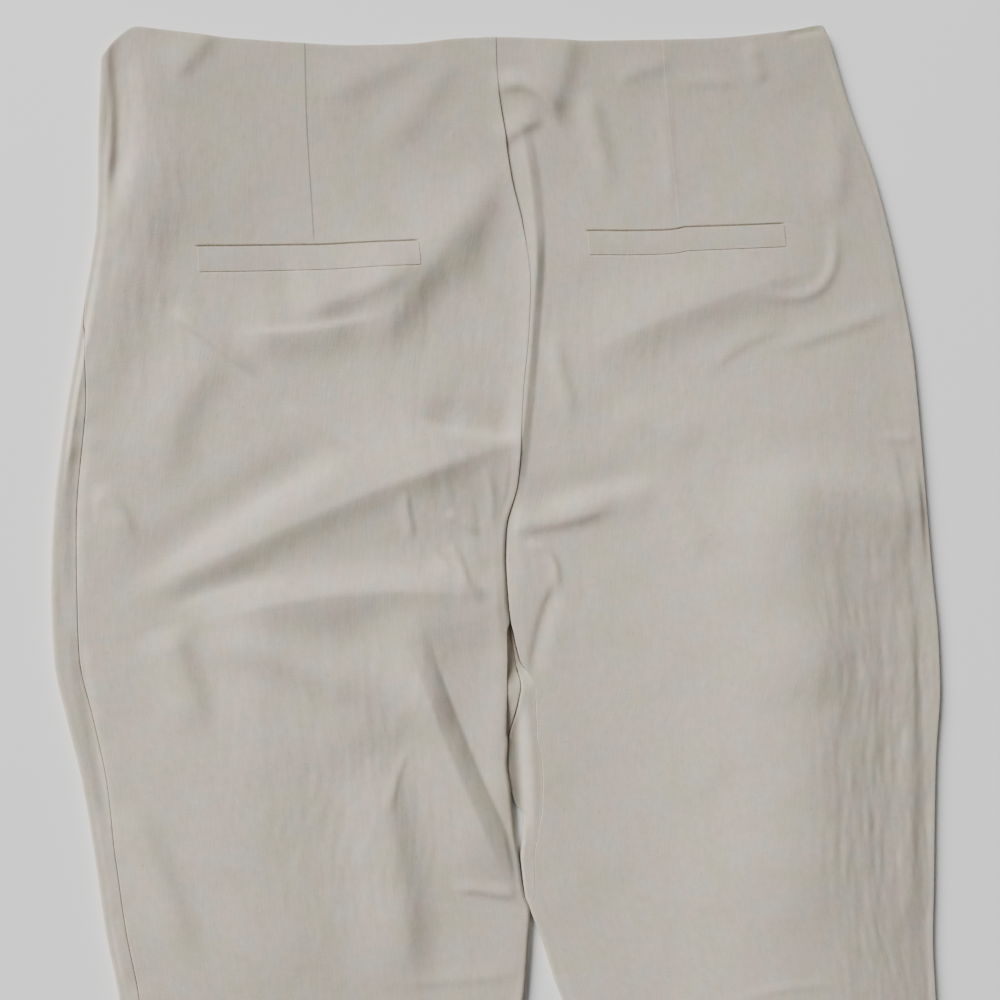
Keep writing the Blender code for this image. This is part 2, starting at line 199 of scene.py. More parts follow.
# How far each welt's lines sag below a straight strip.
WELT_SAG = columns_of(
    ("x", "sag"),
    (-175, 0),
    (-161, 0),
    (-140, -0.6),
    (-115, -1.2),
    (-95, -1.8),
    (-70, -1.7),
    (-44, -1.8),
    (-25, 0),
    (35, 0),
    (52, 0),
    (75, -1),
    (98, -1.5),
    (104, -1.1),
    (110, -0.3),
    (140, -0.5),
    (169, -0.4),
    (190, 0),
)
SAG_REACH = 30.0

# The darts' folded lines, from the waist to the welts, and on down to the hem as plain cloth.
LEFT_DART = columns_of(
    ("y", "x"),
    (WAIST_Y, -96.5),
    (470, -98.8),
    (421, -99.6),
    (400, -100),
    (HEM_Y, -120),
)
RIGHT_DART = columns_of(
    ("y", "x"),
    (WAIST_Y, 104.5),
    (484, 104.6),
    (430, 105.2),
    (400, 105.6),
    (HEM_Y, 120),
)

# Folds of the top layer. Each runs along a bent line through start, middle and end. height is its rise, or
# its depth where negative. The widths are on the left and on the right of someone who walks from start to
# end, and on a side with a negative width the fold ends at a crisp foot. A row may also give how sharp its
# crest is.
FOLD_COLUMNS = ("start", "middle", "end", "height", "left_width", "right_width", "sharp")
FOLDS = (
    # Long folds that radiate from the crotch to the left hip and thigh.
    ((8, 299), (-100, 268), (-226, 222), 3.0, 10, 26, 0.4),
    ((10, 290), (-90, 262), (-206, 226), 1.3, 20, 36),
    ((10, 296), (-30, 287), (-76, 272), 1.4, 18, 22, 0.8),
    ((-86, 303), (-150, 272), (-226, 229), -2.4, 9, 12),
    ((6, 301), (-18, 304), (-56, 314), -2.4, 4.5, 13),
    ((-4, 207), (-98, 221), (-198, 207), 4.4, 18, 11, 0.3),
    ((-8, 204), (-48, 197), (-98, 199), 1.3, 18, 12),
    ((-126, 233), (-160, 231), (-196, 222), -0.9, 4, 8),
    ((-192, 214), (-186, 188), (-176, 150), 1.9, 8, 14),
    ((-178, 205), (-128, 188), (-74, 158), 2.7, 12, 11),
    ((-176, 190), (-116, 174), (-64, 130), 2.3, 20, 40),
    ((-70, 204), (-47, 124), (-16, 42), 4.2, -12, 20, 0.5),
    ((-68, 216), (-58, 176), (-46, 136), 0.9, 15, 26),
    ((-90, 140), (-83, 72), (-80, -10), 3.0, 12, 20),
    ((-70, 136), (-78, 120), (-85, 100), 0.4, 2, 3),
    ((-50, 236), (-35, 224), (-19, 211), 1.2, 2.5, 6),
    # Left hip, side and pocket bag.
    ((-205, 526), (-207, 476), (-216, 420), 0.8, 6, 5),
    ((-196, 522), (-195, 476), (-204, 424), -2.4, 5, 3.5),
    ((-190, 512), (-189, 478), (-197, 440), -1.0, 6, 2.4),
    ((-201, 508), (-203, 474), (-211, 436), -0.9, 2.5, 2),
    ((-186, 516), (-188, 462), (-198, 404), 1.6, 54, 12),
    ((-207, 452), (-224, 362), (-243, 262), 0.7, 3, 3),
    ((-166, 480), (-197, 402), (-236, 300), 1.8, 17, 24),
    ((-226, 284), (-213, 278), (-205, 254), 1.2, 4, 8),
    ((-146, 364), (-110, 362), (-58, 369), 1.1, 2.2, 11, 0.6),
    ((-148, 362), (-112, 360), (-76, 366), 1.4, 22, 11),
    ((-180, 377), (-158, 359), (-134, 337), 1.5, 6, 2),
    ((-124, 326), (-108, 312), (-90, 297), 0.8, 3, 4),
    ((-146, 354), (-176, 328), (-192, 276), 1.9, 12, 18),
    ((-118, 374), (-82, 382), (-40, 404), 2.5, 24, 9),
    ((-80, 346), (-45, 391), (-4, 440), 3.4, 22, 13),
    ((-30, 376), (-14, 412), (2, 452), 1.5, 12, 10),
    ((-96, 484), (-62, 501), (-26, 514), 0.9, 12, 8),
    ((-62, 456), (-38, 482), (-14, 514), 1.0, 14, 9),
    ((-168, 492), (-156, 506), (-142, 522), 1.1, 10, 5),
    # The left side seam's furrow.
    ((-222, 328), (-233, 275), (-236, 222), -0.9, 2.5, 3.5),
    ((-237, 222), (-234, 170), (-227, 96), -1.0, 2.5, 3.5),
    # Centre back and the small crumples beside it.
    ((16, 478), (22, 428), (18, 366), 1.3, -6, 8, 0.9),
    ((23, 418), (14, 344), (-7, 236), 1.4, -5, 8, 0.9),
    ((1, 487), (27, 488), (45, 462), 1.7, 6, 4),
    ((5, 456), (18, 467), (33, 471), 1.2, 8, 3.5),
    ((53, 528), (43, 500), (34, 470), 1.9, 9, 18),
    ((57, 490), (62, 462), (69, 426), 1.1, 6, 7),
    ((-10, 250), (22, 250), (60, 258), 1.4, 8, 4.5),
    ((10, 254), (52, 259), (92, 264), 0.9, 8, 10),
    ((4, 262), (40, 268), (86, 273), -0.9, 9, 6),
    ((0, 238), (17, 231), (19, 204), 0.8, 2.2, 4),
    ((22, 218), (9, 194), (0, 160), -1.1, 5, 2.5),
    ((80, 268), (96, 246), (106, 220), 0.8, 8, 9),
    ((-40, 261), (-32, 254), (-22, 246), 0.7, 2.5, 2.5),
    ((-62, 274), (-61, 260), (-58, 244), 0.7, 2.2, 4),
    ((-40, 243), (-34, 232), (-31, 214), 0.7, 2.2, 3),
    ((-20, 284), (-14, 268), (-17, 246), 0.5, 3, 3),
    # Right hip, side and pocket bag.
    ((36, 336), (112, 364), (198, 383), 2.6, 20, 13, 0.4),
    ((142, 371), (190, 372), (199, 418), 0.8, 3.5, 3.5),
    ((240, 359), (200, 347), (150, 336), 0.7, 4, 7),
    ((168, 348), (138, 341), (112, 322), 0.5, 3, 8),
    ((196, 408), (206, 440), (204, 474), 1.0, 10, 8),
    ((28, 356), (30, 330), (38, 304), 0.9, 5, 5),
    ((56, 308), (84, 298), (110, 282), 1.0, 10, 9),
    ((158, 516), (160, 500), (164, 488), 0.7, 5, 6),
    ((152, 490), (130, 492), (108, 493), 0.4, 3, 5),
    ((112, 502), (92, 500), (74, 492), 0.5, 4, 6),
    ((102, 490), (103, 455), (101, 412), 0.4, 4, 4),
    ((178, 514), (192, 514.5), (206, 513.5), -0.9, 1.6, 1.6),
    # Legs.
    ((136, 348), (146, 80), (118, -190), 7.7, -88, 72),
    ((152, 276), (160, 206), (166, 130), 2.4, 24, 38),
    ((168, 190), (155, 100), (144, -30), 2.8, 30, 44),
    ((118, 268), (194, 252), (270, 232), 3.2, 17, 28, 0.2),
    ((148, 480), (152, 350), (140, 236), 2.2, 62, 104),
    ((-150, 190), (-150, 90), (-140, -20), 2.6, 46, 52),
    ((196, 158), (200, 128), (198, 90), 0.3, 3, 8),
    ((236, 226), (226, 110), (214, -30), 0.9, 5, 8),
    ((188, 94), (191, 40), (190, -24), 0.35, 3, 9),
    ((176, 236), (182, 206), (178, 166), 0.3, 3, 8),
    ((176, 70), (178, 20), (174, -40), 0.35, 3, 9),
    ((96, -30), (134, -24), (172, -30), 0.35, 3, 3),
    ((220, 284), (232, 281), (244, 280), 0.5, 3, 3),
    ((226, 282), (230, 250), (232, 206), 0.6, 4, 6),
    ((-54, 57), (-34, 52), (-12, 45), 0.9, 4, 2.5),
    ((-90, 10), (-50, 6), (-14, 4), 0.4, 5, 3),
    ((-222, 124), (-206, 84), (-190, 20), 1.5, 8, 14),
    # Lower legs, outside the photograph.
    ((-204, -116), (-150, -134), (-84, -130), 1.8, 18, 24),
    ((44, -152), (120, -168), (204, -150), 1.8, 18, 24),
    ((-130, -60), (-132, -250), (-130, -490), 3.6, 48, 48),
    ((118, -60), (122, -250), (124, -490), 3.6, 48, 48),
    ((-190, -240), (-158, -330), (-150, -440), 2.0, 16, 24),
    ((180, -256), (158, -350), (156, -460), 2.0, 24, 16),
    ((-60, -190), (-52, -280), (-64, -370), 2.0, 16, 20),
    ((46, -210), (56, -300), (44, -400), 2.0, 20, 16),
    ((-226, -180), (-206, -240), (-214, -330), 1.6, 10, 14),
)

# Folds that one panel has alone: the right back sinks beside the left one's edge at the centre-back seam,
# the left back's edge stands up beside the crotch, and the fronts' edges sink there to the bottom layer.
SEAT_HOLLOWS = (
    ((3, 500), (10, 446), (15, 396), -1.0, 9, 8),
    ((6, 312), (-4, 262), (-10, 196), -0.9, 4.5, 6),
)
CROTCH_RIDGES = (
    ((-13, 230), (-12, 192), (-14, 160), 1.7, 3, 9),
    ((-13, 174), (-18, 130), (-16, 84), 1.5, 3, 11),
)
LEFT_CROTCH_HOLLOWS = (
    ((-10, 220), (-8, 188), (-5, 158), -3.6, 6, 6),
    ((-10, 160), (-16, 118), (-14, 70), -2.6, 9, 3),
)
RIGHT_CROTCH_HOLLOWS = (
    ((-9, 220), (-5, 188), (-2, 158), -3.6, 6, 6),
    ((-8, 158), (-9, 118), (-9, 74), -3.6, 4, 5),
    ((1, 172), (5, 118), (-5, 48), -1.1, 3, 6),
)


def smooth_curve(at, places, values):
    """A cubic through every value whose slope at each is the harmonic mean of the slopes on its two sides."""
    order = np.argsort(places)
    places = places[order]
    values = values[order]
    steps = np.diff(values) / np.diff(places)
    steps = np.concatenate([steps[:1], steps, steps[-1:]])
    before = steps[:-1]
    after = steps[1:]
    total = before + after
    slopes = np.where(before * after > 0, 2.0 * before * after / np.where(total == 0, 1.0, total), 0.0)
    i = np.clip(np.searchsorted(places, at) - 1, 0, len(places) - 2)
    step = places[i + 1] - places[i]
    t = np.clip((at - places[i]) / step, 0.0, 1.0)
    ease = t * t * (3.0 - 2.0 * t)
    bend = step * t * (1.0 - t) * ((1.0 - t) * slopes[i] - t * slopes[i + 1])
    return values[i] + (values[i + 1] - values[i]) * ease + bend


def ramp(value, low, high):
    """0 below low, 1 above high, and 3t^2 - 2t^3 between them."""
    t = np.clip((value - low) / (high - low), 0.0, 1.0)
    return t * t * (3.0 - 2.0 * t)


def read_off(curves, name, at, along="y"):
    """One column of a table as a smooth curve, read off at places along another column."""
    return smooth_curve(at, curves[along], curves[name])


def outline(name, y):
    """The garment's outer edges and the run of its left side seam."""
    return read_off(OUTLINE, name, y)


def leg(name, y):
    """The legs' inner edges and how far their seams lie in from them."""
    return read_off(LEGS, name, y)


def bent_line(start, middle, end, count=13):
    """Points along the parabola that passes through the three places."""
    t = np.linspace(0.0, 1.0, count)[:, None]
    start = np.array(start, float)
    middle = np.array(middle, float)
    end = np.array(end, float)
    control = 2.0 * middle - 0.5 * (start + end)
    return (1 - t) ** 2 * start + 2 * t * (1 - t) * control + t ** 2 * end


def fold_height(x, y, row):
    """A bell across the fold's line, exp(-(distance / width)^2), with its own width on each side.

    A sharp crest mixes in exp(-distance / width). A crisp foot is max(0, 1 - (distance / width)^2) instead,
    with the straight slope 1 - distance / width mixed in. The fold fades out over FOLD_END_SHARE of its
    length at both ends, and is worked out only near its line.
    """
    fold = dict(zip(FOLD_COLUMNS, row))
    line = bent_line(fold["start"], fold["middle"], fold["end"])
    sharp = fold.get("sharp", 0.0)
    reach = (3.0 + 2.0 * sharp) * max(fold["left_width"], fold["right_width"])
    low = line.min(axis=0) - reach
    high = line.max(axis=0) + reach
    near = (x > low[0]) & (x < high[0]) & (y > low[1]) & (y < high[1])
    lift = np.zeros_like(x)
    if not near.any():
        return lift
    a = line[:-1]
    along = line[1:] - a
    length = np.sum(along ** 2, axis=1)
    dx = x[near][:, None] - a[:, 0]
    dy = y[near][:, None] - a[:, 1]
    t = np.clip((dx * along[:, 0] + dy * along[:, 1]) / length, 0.0, 1.0)
    away = np.hypot(dx - t * along[:, 0], dy - t * along[:, 1])
    side = along[:, 0] * dy - along[:, 1] * dx
    nearest = np.argmin(away, axis=1)
    pick = np.arange(len(nearest))
    place = (nearest + t[pick, nearest]) / len(a)
    width = np.where(side[pick, nearest] > 0, fold["left_width"], fold["right_width"])
    ends = ramp(place, 0.0, FOLD_END_SHARE) * ramp(1.0 - place, 0.0, FOLD_END_SHARE)
    share = away[pick, nearest] / np.abs(width)
    soft = (1.0 - sharp) * np.exp(-share ** 2) + sharp * np.exp(-share)
    crisp = (1.0 - sharp) * (1.0 - share ** 2) + sharp * (1.0 - share)
    lift[near] = fold["height"] * ends * np.where(width > 0, soft, np.maximum(crisp, 0.0))
    return lift


def fold_heights(x, y, rows):
    """The summed heights of a table's folds."""
    total = np.zeros_like(x)
    for row in rows:
        total = total + fold_height(x, y, row)
    return total


# Slight unevenness of handled cloth: waves of (angle in degrees, length in mm, height in mm, phase).
HANDLED_WAVES = (
    (12.0, 83.0, 0.16, 0.3),
    (77.0, 67.0, 0.13, 1.9),
    (128.0, 51.0, 0.09, 4.1),
    (24.0, 37.0, 0.05, 2.6),
    (172.0, 23.0, 0.022, 5.2),
    (5.0, 13.0, 0.010, 3.3),
)


def handled_cloth(x, y):
    """A sum of plane sine waves, each bent a little by the one before it."""
    total = np.zeros_like(x)
    bend = np.zeros_like(x)
    for angle, length, height, phase in HANDLED_WAVES:
        turn = np.radians(angle)
        wave = np.sin((x * np.cos(turn) + y * np.sin(turn)) * 2 * np.pi / length + phase + bend)
        total = total + height * wave
        bend = 1.1 * wave
    return total


PUCKER_LENGTH = 23.0
PUCKER_WIDTH = 6.0
PUCKER_HEIGHT = 0.16
PUCKER_DRIFT = 17.0
PUCKER_DETAIL = 2.9


def side_puckers(x, y):
    """Small waves along the left side seam, exp(-(distance / width)^2) across it, uneven along it."""
    seam_x = outline("left", y) + SKIN_RADIUS + outline("left_seam", y)
    broad = np.sin(y * 2 * np.pi / PUCKER_LENGTH + 2.0 * np.sin(y / PUCKER_DRIFT))
    fine = 0.6 * np.sin(y / PUCKER_DETAIL + 1.0)
    return PUCKER_HEIGHT * (broad + fine) * np.exp(-((x - seam_x) / PUCKER_WIDTH) ** 2)


# Where the cloth is finely crinkled: soft ovals as (x, y, half width, half height, height of the crinkles).
CRINKLE_PLACES = (
    (202.0, 96.0, 50.0, 180.0, 0.42),
    (-186.0, 400.0, 30.0, 110.0, 0.22),
    (-196.0, 480.0, 14.0, 50.0, 0.20),
    (-100.0, 120.0, 70.0, 95.0, 0.2),
    (-30.0, 340.0, 38.0, 70.0, 0.18),
    (-34.0, 245.0, 34.0, 36.0, 0.22),
    (30.0, 215.0, 28.0, 46.0, 0.14),
    (60.0, 330.0, 70.0, 70.0, 0.11),
)
# Crinkle cells as (width, length, share of the height), and the seed that their heights are drawn with.
CRINKLE_CELLS = (
    (3.8, 21.0, 0.55),
    (2.8, 10.0, 0.45),
)
CRINKLE_SEED = 11
LATTICE_SIDE = 240
# How far the cells sway to the sides, in a broad wave and a small one.
BROAD_SWAY = 4.0
SMALL_SWAY = 1.4


def lattice_noise(x, y, heights):
    """Heights at whole numbers of x and y, blended by 3t^2 - 2t^3 between the four corners of each cell."""
    column = np.floor(x).astype(int)
    row = np.floor(y).astype(int)
    across = ramp(x - column, 0.0, 1.0)
    along = ramp(y - row, 0.0, 1.0)
    column = column % LATTICE_SIDE
    row = row % LATTICE_SIDE
    next_column = (column + 1) % LATTICE_SIDE
    next_row = (row + 1) % LATTICE_SIDE
    low = heights[row, column] * (1 - across) + heights[row, next_column] * across
    high = heights[next_row, column] * (1 - across) + heights[next_row, next_column] * across
    return low * (1 - along) + high * along


def crinkles(x, y):
    """Fine upright crinkles: random heights on long narrow cells that sway as they go, within soft ovals.

    An oval's share is exp(-(u^2 + v^2)^2), where u and v are the distances from its middle in half widths and
    half heights.
    """
    draw = np.random.default_rng(CRINKLE_SEED)
    broad = BROAD_SWAY * np.sin(y / 37.0 + 0.6 * np.sin(x / 23.0))
    small = SMALL_SWAY * np.sin(y / 14.0 + x / 29.0)
    bent = x + broad + small
    waves = np.zeros_like(x)
    for width, length, share in CRINKLE_CELLS:
        heights = draw.uniform(-1.0, 1.0, (LATTICE_SIDE, LATTICE_SIDE))
        waves = waves + share * lattice_noise(bent / width, y / length, heights)
    total = np.zeros_like(x)
    for middle_x, middle_y, half_width, half_height, height in CRINKLE_PLACES:
        away = ((x - middle_x) / half_width) ** 2 + ((y - middle_y) / half_height) ** 2
        total = total + height * np.exp(-away ** 2)
    return total * waves


def relief(x, y, share):
    """The height of the folds above the plain top layer, which sinks by less than DEEPEST_DIP."""
    total = share * fold_heights(x, y, FOLDS) + handled_cloth(x, y) + side_puckers(x, y) + crinkles(x, y)
    return np.where(total > 0, total, DEEPEST_DIP * np.expm1(np.minimum(total, 0.0) / DEEPEST_DIP))


def shown_y(x, y):
    """Moves the rows near the top to the waist edge, and those near a welt to its sagging lines."""
    rise = read_off(WAIST_LINE, "rise", x, along="x") * ramp(y, WAIST_Y - WAIST_BLEND, WAIST_Y)
    sag = read_off(WELT_SAG, "sag", x, along="x")
    beside = np.abs(y - WELT_TOP_Y + WELT_DEPTH / 2) / SAG_REACH
    return y + rise + sag * (1.0 - ramp(beside, 0.3, 1.0))


def squared(share, power):
    """A sine or cosine to a power, with its sign."""
    return np.sign(share) * np.abs(share) ** power


def on_skin(run):
    """A run on the solids' middle surface as a run on the skin, which is longer round a turn."""
    return np.where(run < 0, run * SKIN_RADIUS / MIDDLE_RADIUS, run)


def ring_point(run, left, right, left_edge, right_edge):
    """A place on the ring between two turn centres, as x, z and how far the folds lift it there.

    On top, x = left + run. Round a turn of radius r and a = run / r, x moves by r |sin(a)|^p and z by
    r |cos(a)|^p with the sine's and cosine's signs, and p below 1 makes the turn squarer, as when pressed.
    Each edge is (open, fade, p): the folds fade out towards a turn over the fade's width, and where open is 1
    that side is a seam between two backs, across which the folds run on.
    """
    radius = SKIN_RADIUS
    width = right - left
    turn = np.pi * radius
    left_open, left_fade, left_power = left_edge
    right_open, right_fade, right_power = right_edge
    run = np.where(run < -turn - width, run + 2 * (width + turn), run)
    top = (run >= 0) & (run <= width)
    left_turn = (run < 0) & (run >= -turn)
    right_turn = (run > width) & (run <= width + turn)
    bottom_from_left = run < -turn
    angle_left = -run / radius
    angle_right = (run - width) / radius
    cases = [top, left_turn, right_turn, bottom_from_left]
    x = np.select(cases, [
        left + run,
        left - radius * squared(np.sin(angle_left), left_power),
        right + radius * squared(np.sin(angle_right), right_power),
        left - run - turn,
    ], right - (run - width - turn))
    z = np.select(cases, [
        SKIN_FLOOR + 2 * radius + 0 * run,
        SKIN_FLOOR + radius + radius * squared(np.cos(angle_left), left_power),
        SKIN_FLOOR + radius + radius * squared(np.cos(angle_right), right_power),
        SKIN_FLOOR + 0 * run,
    ], SKIN_FLOOR)
    left_lift = np.maximum(ramp(run, 0, left_fade), left_open)
    right_lift = np.maximum(ramp(width - run, 0, right_fade), right_open)
    return x, z, np.where(top | left_turn | right_turn, left_lift * right_lift, 0.0)


def spread(*stretches):
    """Runs along every row. Each stretch is the run that it ends at and its number of equal steps."""
    runs = [stretches[0][0][:, None]]
    for end, count in stretches[1:]:
        t = np.arange(1, count + 1) / count
        start = runs[-1][:, -1:]
        runs.append(start + (end[:, None] - start) * t)
    return np.concatenate(runs, axis=1)


def row_heights(first, last):
    """The rows of a panel between its two edges, close together where the photographed folds show."""
    rows = [first]
    for end, step in ROW_BANDS:
        end = max(end, last)
        count = round((rows[-1] - end) / step)
        rows.extend(np.linspace(rows[-1], end, max(1, count) + 1)[1:])
    return np.array(rows)


EDGE_BEAD = 0.5
ROWS = row_heights(WAIST_Y - EDGE_BEAD, HEM_Y + EDGE_BEAD)


def above_crotch(y):
    """0 up to the crotch, and 1 from SEAM_ROLL_RISE above it."""
    return ramp(y, CROTCH_Y, CROTCH_Y + SEAM_ROLL_RISE)


def back_roll(y):
    """How far the centre-back edge is rolled down into its seam, 90 degrees at the crotch."""
    return np.radians(90.0 + (SEAM_ROLL_WAIST - 90.0) * above_crotch(y))


def front_roll(y):
    """How far the centre-front edge is rolled up, from flat above the crotch to 90 degrees at it."""
    return np.radians(90.0 * (1 - ramp(y, CROTCH_Y, CROTCH_Y + FRONT_ROLL_RISE)))


def back_edge(name, y):
    """The centre-back seam above the crotch, and the leg's inner outline below it."""
    return np.where(y > CROTCH_Y, read_off(SEAT_SEAM, "x", y), leg(name, y))


def front_edge(name, y):
    """The centre-front seam above the crotch, and the leg's inner outline below it."""
    at_crotch = leg(name, np.array([CROTCH_Y]))[0]
    seam = at_crotch + (FRONT_SEAM_WAIST_X - at_crotch) * ramp(y, CROTCH_Y, WAIST_Y)
    return np.where(y > CROTCH_Y, seam, leg(name, y))


SEAM_CLEARANCE = 0.15


def edge_reach(roll):
    """How far a rolled edge reaches past the centre of its turn, with half a seam's clearance."""
    return SEAM_CLEARANCE / 2 + SKIN_RADIUS * np.sin(roll)


def back_reach(y):
    """edge_reach of the centre-back edge, and of a quarter turn below the crotch."""
    return edge_reach(np.where(y > CROTCH_Y, back_roll(y), np.pi / 2))


def front_reach(y):
    """edge_reach of the centre-front edge, and of a quarter turn below the crotch."""
    return edge_reach(np.where(y > CROTCH_Y, front_roll(y), np.pi / 2))


def back_inset(name, y):
    """How far in from the turn's top a back's inner edge lies: on the turn itself above the crotch."""
    return np.where(y > CROTCH_Y, -SKIN_RADIUS * back_roll(y), on_skin(leg(name, y)))


def front_inset(name, y):
    """How far in from the turn's top a front's inner edge lies."""
    return np.where(y > CROTCH_Y, SKIN_RADIUS * (front_roll(y) - np.pi), on_skin(leg(name, y)))


def seat_edge(y, power):
    """Open where the two backs are joined, and closed from the crotch down, where each leg has a turn."""
    return above_crotch(y)[:, None], INNER_FADE, power


def outer_left(y):
    """The centre of the garment's left turn."""
    return outline("left", y) + SKIN_RADIUS


def outer_right(y):
    """The centre of the garment's right turn."""
    return outline("right", y) - SKIN_RADIUS


LEFT_EDGE = (0.0, LEFT_FADE, TURN_SQUARE)
RIGHT_EDGE = (0.0, RIGHT_FADE, RIGHT_SQUARE)
LEFT_LEG_EDGE = (0.0, INNER_FADE, RIGHT_SQUARE)
RIGHT_LEG_EDGE = (0.0, INNER_FADE, TURN_SQUARE)


def outward(surface, flip):
    """Unit normals of a grid, the cross product of its steps down the rows and along them."""
    down = np.gradient(surface, axis=0)
    along = np.gradient(surface, axis=1)
    normal = np.cross(down, along)
    normal = normal / np.maximum(np.linalg.norm(normal, axis=2, keepdims=True), 1e-9)
    return -normal if flip else normal


def edge_drop(distance, radius):
    """A quarter circle's fall towards an edge, r - sqrt(r^2 - (r - d)^2) within r of it."""
    inside = np.clip(radius - distance, 0.0, radius)
    return radius - np.sqrt(np.maximum(radius ** 2 - inside ** 2, 0.0))


# The slit of a pocket's mouth and the sewn line at a welt's foot, as (depth, width, distance from the welt).
MOUTH_SLIT = (1.1, 0.4, 0.25)
FOOT_LINE = (0.2, 0.5, 0.1)


def slit_depth(x, y):
    """The depth of both lines of each pocket, depth * exp(-(distance / width)^2) across them."""
    depth, width, away = MOUTH_SLIT
    mouth = depth * np.exp(-((y - WELT_TOP_Y - away) / width) ** 2)
    depth, width, away = FOOT_LINE
    foot = depth * np.exp(-((y - WELT_TOP_Y + WELT_DEPTH + away) / width) ** 2)
    total = np.zeros_like(x)
    for middle_x in (LEFT_WELT_X, RIGHT_WELT_X):
        beside = np.abs(x - middle_x) - WELT_LENGTH / 2
        total = total + (1.0 - ramp(beside, -1.0, 0.6)) * (mouth + foot)
    return total


DART_STEP = 0.32
DART_WIDTH = 0.35
DART_FADE = 9.0
RIGHT_DART_SHARE = 0.4


def dart_step(x, y, curve, side):
    """The step at a dart's line, from the waist to the welt.

    It is DART_STEP high on the folded side and fades away from the line by exp(-distance / DART_FADE).
    """
    across = side * (x - read_off(curve, "x", y))
    step = DART_STEP * ramp(y, WELT_TOP_Y - 1.0, WELT_TOP_Y + 8.0) * ramp(across, -DART_WIDTH, DART_WIDTH)
    return step * np.exp(-np.maximum(across, 0.0) / DART_FADE)


SEAM_STEP = 0.35
SEAM_STEP_FADE = 5.0


def seam_step(x, y):
    """The left back's edge stands up at the centre-back seam, exp(-distance / SEAM_STEP_FADE) from it."""
    away = np.maximum(read_off(SEAT_SEAM, "x", y) - x, 0.0)
    return SEAM_STEP * above_crotch(y) * np.exp(-away / SEAM_STEP_FADE)


SEAM_WALL = 2.2
LOWEST_EDGE = 0.1
FACING_WIDTH = 32.0
HEM_WIDTH = 30.0
WRAPPED_ROUND = 0.3


def panel(runs, left, right, left_edge, right_edge, sizes, marks, flip=False, start_round=1.0):
    """A panel's sheet: the ring's places, its folds, rounded seam edges and the cloth turned in at both ends.

    place = ring + lift * relief * up - edge_drop * normal, with start_round of the seams' radius at the first
    column. Beyond the first and last columns the cloth goes straight in by SEAM_WALL. At the waist and the
    hem it turns round a bead of radius b, edge + b sin(a) outward - b (1 - cos(a)) normal, and lies 2b inside
    the panel for the facing's width.
    """
    y = np.repeat(ROWS[:, None], runs.shape[1], axis=1)
    x, z, lift = ring_point(runs, left[:, None], right[:, None], left_edge, right_edge)
    height = lift * relief(x, y, sizes.fold_share) + np.where(z > SKIN_FLOOR + SKIN_RADIUS, marks(x, y), 0.0)
    shown = np.stack([x, shown_y(x, y), np.maximum(z + height, np.minimum(z, LOWEST_SKIN))], axis=-1)
    normal = outward(shown, flip)
    radius = sizes.seam_round / MM
    from_start = np.abs(runs - runs[:, :1])
    from_end = np.abs(runs - runs[:, -1:])
    drop = edge_drop(from_start, start_round * radius) + edge_drop(from_end, radius)
    shown = shown - drop[..., None] * normal
    shown = np.concatenate([
        shown[:, :1] - SEAM_WALL * normal[:, :1],
        shown,
        shown[:, -1:] - SEAM_WALL * normal[:, -1:],
    ], axis=1)
    normal = np.concatenate([normal[:, :1], normal, normal[:, -1:]], axis=1)
    across = np.concatenate([runs[:, :1] - SEAM_WALL, runs, runs[:, -1:] + SEAM_WALL], axis=1)
    cloth_map = np.stack([across, np.repeat(ROWS[:, None], across.shape[1], axis=1)], axis=-1)
    top = turned_in(shown, normal, cloth_map, ROWS > WAIST_Y - FACING_WIDTH, 0, 1)
    foot = turned_in(shown, normal, cloth_map, ROWS < HEM_Y + HEM_WIDTH, -1, -2)
    shown = np.concatenate([top[0][::-1], shown, foot[0]])
    shown[..., 2] = np.maximum(shown[..., 2], LOWEST_EDGE)
    cloth_map = np.concatenate([top[1][::-1], cloth_map, foot[1]])
    return shown, cloth_map


BEAD_STEPS = 5


def turned_in(shown, normal, cloth_map, near, edge, inner):
    """The bead and facing beyond a panel's first or last row, as rows that lead away from it."""
    out = shown[edge] - shown[inner]
    out = out / np.linalg.norm(out, axis=1, keepdims=True)
    angles = np.linspace(0.0, np.pi, BEAD_STEPS + 1)[1:]
    bead = [
        shown[edge] + EDGE_BEAD * (np.sin(a) * out - (1 - np.cos(a)) * normal[edge])
        for a in angles
    ]
    rows = np.flatnonzero(near)
    rows = rows[::3] if edge == 0 else rows[::-1]
    rows = rows[1:]
    behind = shown[rows] - 2 * EDGE_BEAD * normal[rows]
    beyond = 1.0 if edge == 0 else -1.0
    bead_map = [cloth_map[edge] + np.array([0.0, beyond * EDGE_BEAD * a]) for a in angles]
    behind_map = cloth_map[rows].copy()
    behind_map[..., 1] = 2 * cloth_map[edge][..., 1] - behind_map[..., 1] + beyond * EDGE_BEAD * np.pi
    return (
        np.concatenate([np.array(bead), behind]),
        np.concatenate([np.array(bead_map), behind_map]),
    )


# The columns close to a seam edge, and how far from it the coarser steps begin.
EDGE_STEPS = (0.04, 0.14, 0.3, 0.55, 1.0)
EDGE_REACH = 1.2
# How many steps a panel has round a turn, along the bottom, beside a seam and under the right edge.
TURN_STEPS = 10
BOTTOM_STEPS = 24
SEAM_SIDE_STEPS = 3
UNDER_STEPS = 4
# The fronts' strips that wrap onto the top and their stretches at the inner seams: least length and steps.
LEFT_STRIP = 1.8
LEFT_STRIP_STEPS = 14
LEFT_INNER = 5.0
LEFT_INNER_STEPS = 22
RIGHT_STRIP = 3.0
RIGHT_STRIP_STEPS = 18
RIGHT_INNER = 5.0


def from_edge(start, sign):
    """The columns close to a seam edge, a few tenths of a millimetre apart."""
    return [(start,)] + [(start + sign * step, 1) for step in EDGE_STEPS]


